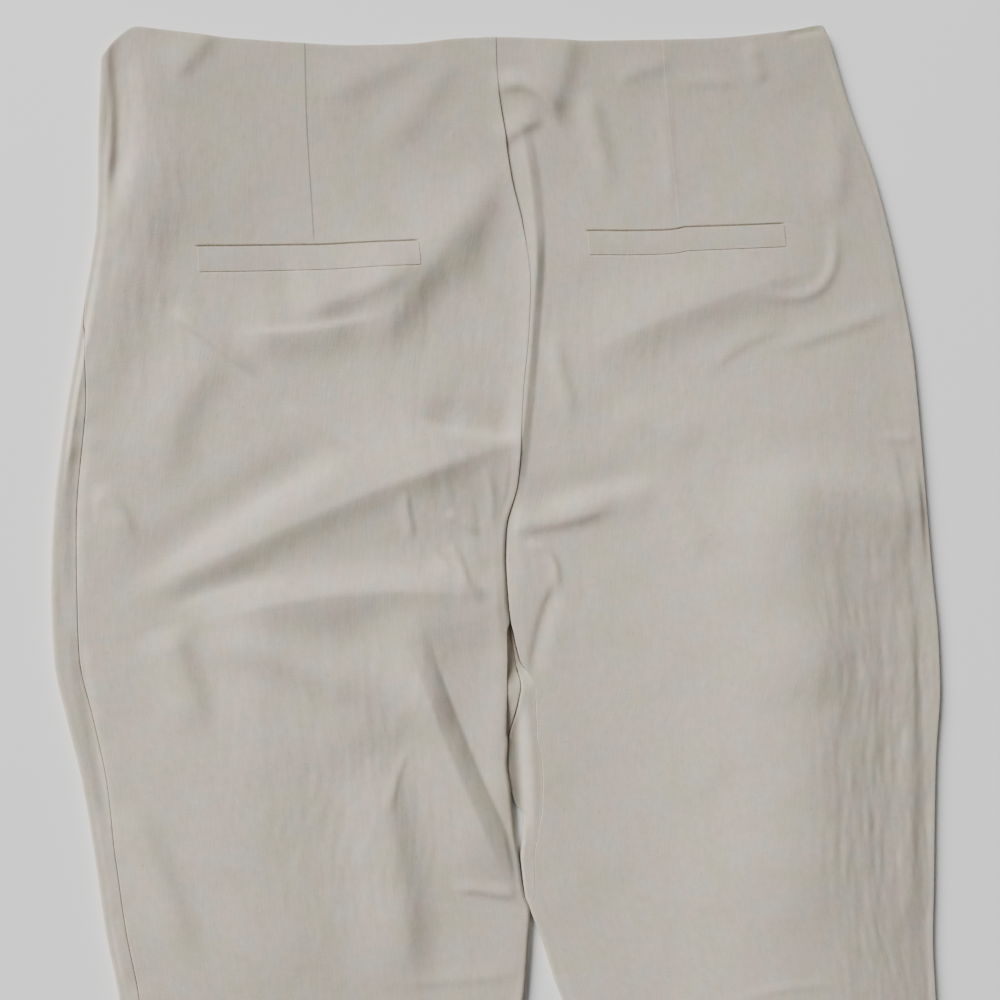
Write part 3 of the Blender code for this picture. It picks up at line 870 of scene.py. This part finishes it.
def to_edge(end, sign):
    """The same columns, towards a seam edge."""
    return [(end - sign * step, 1) for step in EDGE_STEPS[::-1]] + [(end, 1)]


def left_back(sizes):
    """The left back, from the left side seam over the top to the centre-back or inner seam."""
    left = outer_left(ROWS)
    right = back_edge("left_in", ROWS) - back_reach(ROWS)
    start = on_skin(outline("left_seam", ROWS)) + SEAM_CLEARANCE / 2
    end = right - left - back_inset("left_inset", ROWS) - SEAM_CLEARANCE / 2
    dart = read_off(LEFT_DART, "x", ROWS) - left
    turn_top = np.maximum(start + EDGE_REACH, 0.0)
    last_top = np.minimum(right - left, end - EDGE_REACH)
    runs = spread(
        *from_edge(start, 1),
        (turn_top, SEAM_SIDE_STEPS),
        (dart - DART_HALF, TOP_STEP_COUNT),
        (dart + DART_HALF, DART_STEPS),
        (last_top, TOP_STEP_COUNT),
        *to_edge(end, 1),
    )

    def marks(x, y):
        edge = seam_step(x, y) + fold_heights(x, y, CROTCH_RIDGES)
        return dart_step(x, y, LEFT_DART, -1.0) + edge - slit_depth(x, y)

    return panel(runs, left, right, LEFT_EDGE, seat_edge(ROWS, RIGHT_SQUARE), sizes, marks)


def right_back(sizes):
    """The right back, from the centre-back or inner seam over the top and round the right turn."""
    left = back_edge("right_in", ROWS) + back_reach(ROWS)
    right = outer_right(ROWS)
    width = right - left
    start = back_inset("right_inset", ROWS) + SEAM_CLEARANCE / 2
    end = width + np.pi * SKIN_RADIUS + RIGHT_SEAM_UNDER - SEAM_CLEARANCE / 2
    dart = read_off(RIGHT_DART, "x", ROWS) - left
    turn_top = np.maximum(start + EDGE_REACH, 0.0)
    runs = spread(
        *from_edge(start, 1),
        (turn_top, SEAM_SIDE_STEPS),
        (dart - DART_HALF, TOP_STEP_COUNT),
        (dart + DART_HALF, DART_STEPS),
        (width, TOP_STEP_COUNT),
        (width + np.pi * SKIN_RADIUS, TURN_STEPS),
        (end - EDGE_REACH, UNDER_STEPS),
        *to_edge(end, 1),
    )

    def marks(x, y):
        dart_line = RIGHT_DART_SHARE * dart_step(x, y, RIGHT_DART, 1.0)
        return dart_line + fold_heights(x, y, SEAT_HOLLOWS) - slit_depth(x, y)

    inner_edge = seat_edge(ROWS, TURN_SQUARE)
    return panel(runs, left, right, inner_edge, RIGHT_EDGE, sizes, marks, start_round=WRAPPED_ROUND)


def left_front(sizes):
    """The left front, from the left side seam round the turn, along the bottom and up the inner turn."""
    left = outer_left(ROWS)
    right = front_edge("left_in", ROWS) - front_reach(ROWS)
    width = right - left
    turn = np.pi * SKIN_RADIUS
    start = on_skin(outline("left_seam", ROWS)) - SEAM_CLEARANCE / 2
    end = -width - 2 * turn - front_inset("left_inset", ROWS) + SEAM_CLEARANCE / 2
    runs = spread(
        *from_edge(start, -1),
        (np.minimum(start - LEFT_STRIP, 0.0), LEFT_STRIP_STEPS),
        (np.full_like(left, -turn), TURN_STEPS),
        (np.maximum(-width - turn, end + LEFT_INNER), BOTTOM_STEPS),
        (end + EDGE_REACH, LEFT_INNER_STEPS),
        *to_edge(end, -1),
    )

    def marks(x, y):
        return fold_heights(x, y, LEFT_CROTCH_HOLLOWS)

    return panel(runs, left, right, LEFT_EDGE, LEFT_LEG_EDGE, sizes, marks, flip=True)


def right_front(sizes):
    """The right front, from its inner seam round the inner turn and along the bottom to the side seam."""
    left = front_edge("right_in", ROWS) + front_reach(ROWS)
    right = outer_right(ROWS)
    width = right - left
    turn = np.pi * SKIN_RADIUS
    start = front_inset("right_inset", ROWS) - SEAM_CLEARANCE / 2
    end = -turn - width + RIGHT_SEAM_UNDER + SEAM_CLEARANCE / 2
    runs = spread(
        *from_edge(start, -1),
        (np.minimum(start - RIGHT_STRIP, 0.0), RIGHT_STRIP_STEPS),
        (np.minimum(start - RIGHT_INNER, -turn), TURN_STEPS),
        (end + EDGE_REACH, BOTTOM_STEPS),
        *to_edge(end, -1),
    )

    def marks(x, y):
        return fold_heights(x, y, RIGHT_CROTCH_HOLLOWS)

    return panel(
        runs, left, right, RIGHT_LEG_EDGE, RIGHT_EDGE, sizes, marks, flip=True, start_round=WRAPPED_ROUND)


def new_mesh(name, shown, faces):
    """A mesh in metres from places in millimetres."""
    mesh = bpy.data.meshes.new(name)
    mesh.from_pydata((shown.reshape(-1, 3) * MM).tolist(), [], faces.tolist())
    return mesh


def add_piece(name, mesh, material):
    """Shades a mesh smooth, gives it its finish and puts it into the scene."""
    mesh.shade_smooth()
    mesh.materials.append(material)
    piece = bpy.data.objects.new(name, mesh)
    bpy.context.scene.collection.objects.link(piece)
    return piece


def add_sheet(name, shown, cloth_map, material, flip=False):
    """Makes a grid of places a piece of quads, with its own flat map of the cloth."""
    rows, columns = shown.shape[:2]
    index = np.arange(rows * columns).reshape(rows, columns)
    faces = np.stack([index[:-1, :-1], index[1:, :-1], index[1:, 1:], index[:-1, 1:]], axis=-1)
    faces = faces.reshape(-1, 4)
    if flip:
        faces = faces[:, ::-1]
    mesh = new_mesh(name, shown, faces)
    layer = mesh.uv_layers.new(name="cloth")
    corners = cloth_map.reshape(-1, 2)[faces.ravel()] * MM
    layer.uv.foreach_set("vector", corners.astype(np.float32).ravel())
    return add_piece(name, mesh, material)


WELT_WALL = 1.6
WELT_ROUND = 0.2
WELT_FOLD_ROUND = 0.4
WELT_BOW = 0.2
# Where a welt's rows and columns lie beside its edges, and how many there are between them.
WELT_EDGE_STEPS = (0.0, 0.05, 0.15, 0.3, 0.5, 0.8)
WELT_COLUMNS = 96
WELT_END_REACH = 2.0
WELT_ROWS = 16


def welt_strip(middle_x, sizes):
    """A folded strip, slightly bowed on top, with a quarter circle down at all four sides.

    z = skin + folds + proud + bow - drop at the ends - drop at the foot - drop at the folded edge, where
    bow = WELT_BOW sin(pi * share of the depth). Walls go down from all four sides.
    """
    proud = sizes.welt_proud / MM
    half = WELT_LENGTH / 2
    ends = np.array(WELT_EDGE_STEPS)
    along = np.concatenate([
        -half + ends,
        np.linspace(-half + WELT_END_REACH, half - WELT_END_REACH, WELT_COLUMNS),
        half - ends[::-1],
    ])
    across = np.concatenate([
        ends,
        np.linspace(EDGE_REACH, WELT_DEPTH - EDGE_REACH, WELT_ROWS),
        WELT_DEPTH - ends[::-1],
    ])
    x, down = np.meshgrid(middle_x + along, across)
    drop = edge_drop(half - np.abs(x - middle_x), WELT_ROUND) + edge_drop(WELT_DEPTH - down, WELT_ROUND)
    drop = drop + edge_drop(down, WELT_FOLD_ROUND)
    bow = WELT_BOW * np.sin(np.pi * down / WELT_DEPTH)
    y = WELT_TOP_Y - down
    z = SKIN_FLOOR + 2 * SKIN_RADIUS + relief(x, y, sizes.fold_share) + proud + bow - drop
    shown = np.stack([x, shown_y(x, y), z], axis=-1)
    wall = shown.copy()
    wall[..., 2] -= WELT_WALL + proud
    shown = np.concatenate([wall[:1], shown, wall[-1:]])
    side = np.concatenate([shown[:, :1], shown[:, -1:]], axis=1)
    side[..., 2] -= WELT_WALL + proud
    shown = np.concatenate([side[:, :1], shown, side[:, 1:]], axis=1)
    cloth_map = shown[..., :2].copy()
    return shown, cloth_map


def new_material(name):
    """A material and its node tree."""
    material = bpy.data.materials.new(name)
    material.use_nodes = True
    return material, material.node_tree


def feed(tree, value, socket):
    """Links a value to a socket, or sets the socket to a number or a colour."""
    if isinstance(value, bpy.types.NodeSocket):
        tree.links.new(value, socket)
    elif isinstance(value, (int, float)):
        socket.default_value = value
    else:
        socket.default_value = (*value, 1.0)


def noise(tree, place, scale, detail, roughness=0.5):
    """A noise over a place on the cloth, stretched by scale = (across, along) in cells per metre."""
    mapping = tree.nodes.new("ShaderNodeMapping")
    mapping.inputs["Scale"].default_value = (*scale, 1.0)
    tree.links.new(place, mapping.inputs["Vector"])
    texture = tree.nodes.new("ShaderNodeTexNoise")
    texture.inputs["Scale"].default_value = 1.0
    texture.inputs["Detail"].default_value = detail
    texture.inputs["Roughness"].default_value = roughness
    tree.links.new(mapping.outputs["Vector"], texture.inputs["Vector"])
    return texture.outputs["Fac"]


def stretch(tree, value, low, high, out_low, out_high):
    """Maps low..high of a value to out_low..out_high and holds it beyond them."""
    node = tree.nodes.new("ShaderNodeMapRange")
    node.inputs["From Min"].default_value = low
    node.inputs["From Max"].default_value = high
    node.inputs["To Min"].default_value = out_low
    node.inputs["To Max"].default_value = out_high
    tree.links.new(value, node.inputs["Value"])
    return node.outputs["Result"]


def calculate(tree, operation, *values):
    """Adds or multiplies values, each a socket or a number, one after another."""
    total = values[0]
    for value in values[1:]:
        node = tree.nodes.new("ShaderNodeMath")
        node.operation = operation
        feed(tree, total, node.inputs[0])
        feed(tree, value, node.inputs[1])
        total = node.outputs["Value"]
    return total


def weighted(tree, *parts):
    """The sum of values, each times its weight."""
    return calculate(tree, "ADD", *[calculate(tree, "MULTIPLY", *part) for part in parts])


def blended(tree, share, first, second, kind="MIX"):
    """Two colours mixed by a share, each a socket or a colour."""
    node = tree.nodes.new("ShaderNodeMix")
    node.data_type = "RGBA"
    node.blend_type = kind
    feed(tree, share, node.inputs["Factor"])
    feed(tree, first, node.inputs["A"])
    feed(tree, second, node.inputs["B"])
    return node.outputs["Result"]


def add_relief(tree, height, strength, distance):
    """Gives a finish's shader a bump of that height."""
    bump = tree.nodes.new("ShaderNodeBump")
    bump.inputs["Strength"].default_value = strength
    bump.inputs["Distance"].default_value = distance
    tree.links.new(height, bump.inputs["Height"])
    tree.links.new(bump.outputs["Normal"], tree.nodes["Principled BSDF"].inputs["Normal"])


def toned(colour, tone):
    """A colour made lighter or darker."""
    return tuple(tone * value for value in colour)


# The cloth's noises: name, cells per metre across and along the cloth, detail and roughness.
CLOTH_NOISES = (
    ("clouds", (26.0, 34.0), 3.0, 0.5),
    ("patches", (71.0, 63.0), 3.0, 0.5),
    ("blotches", (236.0, 180.0), 2.0, 0.6),
    ("slubs", (1000.0, 90.0), 3.0, 0.6),
    ("picks", (120.0, 1300.0), 2.0, 0.6),
    ("grain", (2100.0, 1900.0), 2.0, 0.7),
    ("specks", (310.0, 270.0), 0.0, 0.5),
    ("creases", (300.0, 64.0), 4.0, 0.65),
)
# Clouding laid over the cloth's colour in turn: the noise, where it sets in, where it is full, its share and
# its colour.
CLOUDING = (
    ("clouds", 0.42, 0.58, 0.9, "warm_colour"),
    ("patches", 0.47, 0.62, 0.85, "cool_colour"),
    ("blotches", 0.52, 0.68, 0.55, "warm_colour"),
    ("blotches", 0.46, 0.32, 0.55, "cool_colour"),
)
# Light and dark over that colour: the noise, the span of it that counts, and the shades at the span's ends.
SHADES = (
    ("grain", 0.3, 0.7, 0.9, 1.1),
    ("specks", 0.15, 0.18, 0.88, 1.0),
    ("mottle", 0.35, 0.65, 0.945, 1.055),
)
THREAD_SPAN = (0.3, 0.7)
# Where along the cloth map's Y, in metres, the painted shade towards the waist sets in and where it is full.
PAINTED_WAIST_SPAN = (0.34, 0.50)
SLUB_ROUGHNESS = 0.06
CLOTH_BUMP = 0.00025
THREAD_BUMP = 0.0001


def cloth_finish(name, look, tone):
    """Fine ecru twill: upright slubs, crossing threads, pink and green clouding, specks, painted shade
    darkening it towards the waist, soft sheen, bump.
    """
    material, tree = new_material(name)
    shader = tree.nodes["Principled BSDF"]
    cloth_map = tree.nodes.new("ShaderNodeUVMap")
    cloth_map.uv_map = "cloth"
    place = cloth_map.outputs["UV"]
    noises = {key: noise(tree, place, *settings) for key, *settings in CLOTH_NOISES}
    threads = weighted(tree, (noises["slubs"], 0.6), (noises["picks"], 0.4))
    noises["mottle"] = weighted(tree, (noises["blotches"], 0.5), (noises["patches"], 0.5))
    colour = toned(look.cloth_colour, tone)
    for key, low, high, share, tint in CLOUDING:
        share = stretch(tree, noises[key], low, high, 0.0, share)
        colour = blended(tree, share, colour, toned(getattr(look, tint), tone))
    shades = [stretch(tree, noises[key], *span) for key, *span in SHADES]
    shades.append(stretch(tree, threads, *THREAD_SPAN, 1.0 - look.slub_shade, 1.0 + look.slub_shade))
    # Painted shade: the colour is darkened towards the waist in place of the shade that the light leaves
    # there.
    parts = tree.nodes.new("ShaderNodeSeparateXYZ")
    tree.links.new(place, parts.inputs["Vector"])
    shades.append(stretch(tree, parts.outputs["Y"], *PAINTED_WAIST_SPAN, 1.0, 1.0 - look.painted_waist_shade))
    colour = blended(tree, 1.0, colour, calculate(tree, "MULTIPLY", *shades), "MULTIPLY")
    tree.links.new(colour, shader.inputs["Base Color"])
    rough = (look.roughness + SLUB_ROUGHNESS, look.roughness - SLUB_ROUGHNESS)
    tree.links.new(stretch(tree, noises["slubs"], *THREAD_SPAN, *rough), shader.inputs["Roughness"])
    shader.inputs["Sheen Weight"].default_value = look.sheen
    shader.inputs["Sheen Roughness"].default_value = 0.5
    shader.inputs["Specular IOR Level"].default_value = 0.35
    height = weighted(tree, (threads, 1.0), (noises["grain"], 0.35), (noises["creases"], 1.0))
    add_relief(tree, height, look.weave_bump, CLOTH_BUMP)
    return material


def thread_finish(look):
    """Sewing thread: a twist of fine strands in the cloth's colour, slightly darker."""
    material, tree = new_material("Ecru sewing thread")
    shader = tree.nodes["Principled BSDF"]
    place = tree.nodes.new("ShaderNodeTexCoord").outputs["Object"]
    strands = noise(tree, place, (4000.0, 3000.0), 2.0)
    colour = blended(tree, strands, toned(look.cloth_colour, 0.9), toned(look.cloth_colour, 0.7))
    tree.links.new(colour, shader.inputs["Base Color"])
    shader.inputs["Roughness"].default_value = 0.6
    add_relief(tree, strands, 0.4, THREAD_BUMP)
    return material


def shared_cloth(look):
    """The panels' cloth, made once."""
    return bpy.data.materials.get("Ecru cotton twill") or cloth_finish("Ecru cotton twill", look, 1.0)


def declare(piece):
    """Attaches a piece to the root body and hides the solid that it stands for."""
    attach(piece, "root")
    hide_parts(piece.name.removesuffix("_cloth"))


def declare_panel(piece):
    """Attaches a panel to the root body and hides the solid that it stands for, as declare does."""
    declare(piece)


class TROUSERS_PG_sizes(bpy.types.PropertyGroup):
    """Sizes of the sewn pieces that a maker may change."""

    fold_share: FloatProperty(
        name="Fold height", default=1.35, min=0.0, max=1.6, subtype="FACTOR",
        description="Share of their tabled height that the folds have",
    )
    seam_round: FloatProperty(
        name="Seam rounding", default=0.5 * MM, min=0.1 * MM, max=1.0 * MM, unit="LENGTH",
        description="Radius of the cloth's edge where it goes down into a seam",
    )
    welt_proud: FloatProperty(
        name="Welt height", default=0.15 * MM, min=0.05 * MM, max=1.0 * MM, unit="LENGTH",
        description="How far a welt stands above the back",
    )
    stitch_length: FloatProperty(
        name="Stitch length", default=2.2 * MM, min=1.0 * MM, max=5.0 * MM, unit="LENGTH",
        description="Length of one hem stitch",
    )
    stitch_rise: FloatProperty(
        name="Stitch row height", default=28.0 * MM, min=5.0 * MM, max=40.0 * MM, unit="LENGTH",
        description="Height of the stitch row above the hem",
    )


class TROUSERS_PG_look(bpy.types.PropertyGroup):
    """Colours and finish of the cloth, with the painted shade towards its waist."""

    cloth_colour: FloatVectorProperty(
        name="Cloth colour", default=(0.543, 0.498, 0.368), min=0.0, max=1.0, subtype="COLOR",
        description="Main ecru of the cloth",
    )
    warm_colour: FloatVectorProperty(
        name="Warm clouding", default=(0.580, 0.477, 0.406), min=0.0, max=1.0, subtype="COLOR",
        description="Faint pinkish patches",
    )
    cool_colour: FloatVectorProperty(
        name="Cool clouding", default=(0.494, 0.484, 0.404), min=0.0, max=1.0, subtype="COLOR",
        description="Faint greyish green patches",
    )
    slub_shade: FloatProperty(
        name="Slub shade", default=0.07, min=0.0, max=0.3, subtype="FACTOR",
        description="How much lighter and darker single threads are",
    )
    # Painted shade: how much the colour is darkened towards the waist in place of the shade that the light
    # leaves there.
    painted_waist_shade: FloatProperty(
        name="Waist shade", default=0.18, min=0.0, max=0.3, subtype="FACTOR",
        description="How much darker the cloth is at the waist than at the hips",
    )
    weave_bump: FloatProperty(
        name="Weave relief", default=0.5, min=0.0, max=1.0, subtype="FACTOR",
        description="Strength of the threads' relief",
    )
    roughness: FloatProperty(
        name="Roughness", default=0.78, min=0.3, max=1.0, subtype="FACTOR",
        description="Mean roughness of the cloth",
    )
    sheen: FloatProperty(
        name="Sheen", default=0.15, min=0.0, max=1.0, subtype="FACTOR",
        description="Soft light of the cloth's nap at a low angle",
    )


class TROUSERS_PG_stage(bpy.types.PropertyGroup):
    """The table and its light."""

    floor_colour: FloatVectorProperty(
        name="Table colour", default=(0.95, 0.95, 0.95), min=0.0, max=1.0, subtype="COLOR",
        description="Pale table that the garment lies on",
    )
    key_power: FloatProperty(
        name="Window light", default=2140.0, min=0.0, unit="POWER",
        description="Power of the large light at the upper left, in watts",
    )
    fill_power: FloatProperty(
        name="Overhead light", default=2.0, min=0.0, unit="POWER",
        description="Power of the wide light above, in watts",
    )
    surround: FloatProperty(
        description="Strength of the light from all round",
        name="Room light", default=0.09, min=0.0, max=3.0,
    )


class TROUSERS_OT_backs(bpy.types.Operator):
    """Make the two back panels, which show, with their folds, darts and pocket mouths"""

    bl_idname = "trousers.add_backs"
    bl_label = "Add back panels"

    def execute(self, context):
        cloth = shared_cloth(context.scene.trousers_look)
        sizes = context.scene.trousers_sizes
        for name, make, below in (
            ("back_left_cloth", left_back, "front_left"),
            ("back_right_cloth", right_back, "front_right"),
        ):
            piece = add_sheet(name, *make(sizes), cloth)
            declare_panel(piece)
        return {"FINISHED"}


class TROUSERS_OT_fronts(bpy.types.Operator):
    """Make the two front panels, which lie underneath and show as narrow strips at the edges"""

    bl_idname = "trousers.add_fronts"
    bl_label = "Add front panels"

    def execute(self, context):
        cloth = shared_cloth(context.scene.trousers_look)
        sizes = context.scene.trousers_sizes
        for name, make in (("front_left_cloth", left_front), ("front_right_cloth", right_front)):
            piece = add_sheet(name, *make(sizes), cloth, flip=True)
            declare_panel(piece)
        return {"FINISHED"}


class TROUSERS_OT_welts(bpy.types.Operator):
    """Make the two welts below the pocket mouths"""

    bl_idname = "trousers.add_welts"
    bl_label = "Add pocket welts"

    def execute(self, context):
        welt_cloth = cloth_finish("Ecru welt cloth", context.scene.trousers_look, 0.98)
        sizes = context.scene.trousers_sizes
        for name, middle_x, below in (
            ("back_welt_left_cloth", LEFT_WELT_X, "back_left"),
            ("back_welt_right_cloth", RIGHT_WELT_X, "back_right"),
        ):
            piece = add_sheet(name, *welt_strip(middle_x, sizes), welt_cloth)
            declare(piece)
        return {"FINISHED"}


STITCH_RADIUS = 0.17
STITCH_GAP = 0.9
STITCH_RINGS = 7
STITCH_SIDES = 6
STITCH_PROUD = 0.12
STITCH_SINK = 0.1
STITCH_MARGIN = 3.0


def stitch_row(starts, ends, up):
    """Short spindles from starts to ends: radius r sqrt(1 - (2t - 1)^2), a little proud in the middle.

    The centre lies STITCH_SINK under the cloth and rises by STITCH_PROUD times the same root.
    """
    t = np.linspace(0.0, 1.0, STITCH_RINGS)
    centre = starts[:, None] + (ends - starts)[:, None] * t[:, None]
    swell = np.sqrt(np.maximum(1.0 - (2.0 * t - 1.0) ** 2, 0.0))
    centre = centre + up[:, None] * (STITCH_PROUD * swell - STITCH_SINK)[:, None]
    along = (ends - starts) / np.linalg.norm(ends - starts, axis=1, keepdims=True)
    side = np.cross(along, up)
    angle = np.linspace(0.0, 2 * np.pi, STITCH_SIDES, endpoint=False)
    ring = side[:, None, None] * np.cos(angle)[:, None] + up[:, None, None] * np.sin(angle)[:, None]
    return centre[:, :, None] + STITCH_RADIUS * swell[:, None, None] * ring


def stitch_places(make, sizes):
    """Starts, ends and normals of the stitches on one panel, all in one row above the hem."""
    shown, cloth_map = make(sizes)
    normal = outward(shown, make in (left_front, right_front))
    rise = HEM_Y + sizes.stitch_rise / MM
    v = cloth_map[:, 0, 1]
    last = np.flatnonzero(v >= HEM_Y + EDGE_BEAD)[-1]
    upper = np.flatnonzero(v[:last + 1] > rise)[-1]
    t = (v[upper] - rise) / (v[upper] - v[upper + 1])
    line = shown[upper] * (1 - t) + shown[upper + 1] * t
    up = normal[upper] * (1 - t) + normal[upper + 1] * t
    steps = np.linalg.norm(np.diff(line, axis=0), axis=1)
    along = np.concatenate([[0.0], np.cumsum(steps)])
    length = sizes.stitch_length / MM
    count = int((along[-1] - 2 * STITCH_MARGIN) / (length + STITCH_GAP))
    begin = STITCH_MARGIN + np.arange(count) * (length + STITCH_GAP)

    def at(run, values):
        """Places or normals at distances along the row."""
        return np.stack([np.interp(run, along, values[:, k]) for k in range(3)], axis=-1)

    middle_up = at(begin + length / 2, up)
    middle_up = middle_up / np.linalg.norm(middle_up, axis=1, keepdims=True)
    return at(begin, line), at(begin + length, line), middle_up


class TROUSERS_OT_stitches(bpy.types.Operator):
    """Make the stitch row that holds the turned-up hems"""

    bl_idname = "trousers.add_stitches"
    bl_label = "Add hem stitches"

    def execute(self, context):
        sizes = context.scene.trousers_sizes
        panels = (left_back, right_back, left_front, right_front)
        rings = np.concatenate([stitch_row(*stitch_places(make, sizes)) for make in panels])
        index = np.arange(rings.size // 3).reshape(-1, STITCH_RINGS, STITCH_SIDES)
        following = np.roll(index, -1, axis=2)
        faces = np.stack([index[:, :-1], following[:, :-1], following[:, 1:], index[:, 1:]], axis=-1)
        mesh = new_mesh("hem_stitches", rings, faces.reshape(-1, 4))
        shape = bmesh.new()
        shape.from_mesh(mesh)
        bmesh.ops.remove_doubles(shape, verts=shape.verts, dist=1e-6)
        bmesh.ops.recalc_face_normals(shape, faces=shape.faces)
        shape.to_mesh(mesh)
        shape.free()
        piece = add_piece("hem_stitches", mesh, thread_finish(context.scene.trousers_look))
        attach(piece, "root")
        return {"FINISHED"}


# The camera: its distance in metres, the sine of its lean, its turn on the table in degrees, its aim, and its
# focal length in pixels of a picture PHOTO_SIDE wide.
VIEW_DISTANCE = 0.85
VIEW_LEAN = 0.238
VIEW_TURN = 4.5
VIEW_AIM = (-0.008, 0.264, 0.0)
VIEW_FOCUS = 1545.45
PHOTO_SIDE = 1000
SENSOR = 36.0


def place_camera(scene):
    """Looks down at the aim, leaning over from the left, with the picture turned on the table."""
    turn = np.radians(VIEW_TURN)
    level = np.sqrt(1.0 - VIEW_LEAN ** 2)
    right = Vector((level * np.cos(turn), -level * np.sin(turn), VIEW_LEAN))
    up = Vector((np.sin(turn), np.cos(turn), 0.0))
    look = Vector((VIEW_LEAN * np.cos(turn), -VIEW_LEAN * np.sin(turn), -level))
    camera = bpy.data.objects.new("Camera", bpy.data.cameras.new("Camera"))
    camera.data.sensor_width = SENSOR
    camera.data.lens = VIEW_FOCUS * SENSOR / PHOTO_SIDE
    facing = Matrix((right, up, -look)).transposed().to_4x4()
    camera.matrix_world = Matrix.Translation(Vector(VIEW_AIM) - VIEW_DISTANCE * look) @ facing
    scene.collection.objects.link(camera)
    scene.camera = camera


# The lights, in metres: both face the middle of what the photograph shows.
LIGHT_AIM = (0.0, 0.2, 0.0)
WINDOW_PLACE = (-6.14, 5.73, 4.9)
WINDOW_SIZE = 5.0
OVERHEAD_PLACE = (0.1, 0.2, 2.0)
OVERHEAD_SIZE = 2.0


def place_light(name, place, size, power):
    """A square soft light that faces LIGHT_AIM."""
    light = bpy.data.lights.new(name, "AREA")
    light.shape = "SQUARE"
    light.size = size
    light.energy = power
    lamp = bpy.data.objects.new(name, light)
    facing = (Vector(LIGHT_AIM) - Vector(place)).to_track_quat("-Z", "Y")
    lamp.matrix_world = Matrix.Translation(place) @ facing.to_matrix().to_4x4()
    bpy.context.scene.collection.objects.link(lamp)


# The table's top reaches FLOOR_REACH to every side, FLOOR_Z under the garment, in metres.
FLOOR_REACH = 3.0
FLOOR_POINTS = 5
FLOOR_Z = -0.0003


class TROUSERS_OT_stage(bpy.types.Operator):
    """Make the table, the lights and the camera"""

    bl_idname = "trousers.add_stage"
    bl_label = "Add table, lights and camera"

    def execute(self, context):
        stage = context.scene.trousers_stage
        t = np.linspace(-FLOOR_REACH, FLOOR_REACH, FLOOR_POINTS)
        x, y = np.meshgrid(t, t[::-1])
        shown = np.stack([x, y, np.full_like(x, FLOOR_Z)], axis=-1) / MM
        material, tree = new_material("Pale table")
        shader = tree.nodes["Principled BSDF"]
        grain = noise(tree, tree.nodes.new("ShaderNodeTexCoord").outputs["Object"], (7.0, 7.0), 4.0)
        colour = blended(tree, grain, toned(stage.floor_colour, 0.985), toned(stage.floor_colour, 1.0))
        tree.links.new(colour, shader.inputs["Base Color"])
        shader.inputs["Roughness"].default_value = 0.9
        floor = add_sheet("table", shown, shown[..., :2], material)
        world = bpy.data.worlds.new("Room")
        world.use_nodes = True
        room = world.node_tree.nodes["Background"]
        room.inputs["Color"].default_value = (1.0, 1.0, 1.0, 1.0)
        room.inputs["Strength"].default_value = stage.surround
        context.scene.world = world
        place_light("Window", WINDOW_PLACE, WINDOW_SIZE, stage.key_power)
        place_light("Overhead", OVERHEAD_PLACE, OVERHEAD_SIZE, stage.fill_power)
        place_camera(context.scene)
        return {"FINISHED"}


class TROUSERS_PT_make(bpy.types.Panel):
    """Lists the steps and the sizes"""

    bl_idname = "TROUSERS_PT_make"
    bl_label = "Trousers"
    bl_space_type = "VIEW_3D"
    bl_region_type = "UI"
    bl_category = "Trousers"

    def draw(self, context):
        layout = self.layout
        for step in STEPS:
            layout.operator(step.bl_idname)
        for group in ("trousers_sizes", "trousers_look", "trousers_stage"):
            settings = getattr(context.scene, group)
            box = layout.box()
            for name in settings.__annotations__:
                box.prop(settings, name)


STEPS = (
    TROUSERS_OT_backs,
    TROUSERS_OT_fronts,
    TROUSERS_OT_welts,
    TROUSERS_OT_stitches,
    TROUSERS_OT_stage,
)
GROUPS = (TROUSERS_PG_sizes, TROUSERS_PG_look, TROUSERS_PG_stage)


def register():
    """Makes the groups, steps and panel known to Blender."""
    for item in (*GROUPS, *STEPS, TROUSERS_PT_make):
        bpy.utils.register_class(item)
    bpy.types.Scene.trousers_sizes = PointerProperty(type=TROUSERS_PG_sizes)
    bpy.types.Scene.trousers_look = PointerProperty(type=TROUSERS_PG_look)
    bpy.types.Scene.trousers_stage = PointerProperty(type=TROUSERS_PG_stage)


def unregister():
    """Takes them away again, last first."""
    del bpy.types.Scene.trousers_sizes
    del bpy.types.Scene.trousers_look
    del bpy.types.Scene.trousers_stage
    for item in reversed((*GROUPS, *STEPS, TROUSERS_PT_make)):
        bpy.utils.unregister_class(item)


def main():
    """Makes the whole scene."""
    register()
    bpy.ops.trousers.add_backs()
    bpy.ops.trousers.add_fronts()
    bpy.ops.trousers.add_welts()
    bpy.ops.trousers.add_stitches()
    bpy.ops.trousers.add_stage()


if __name__ == "__main__":
    main()
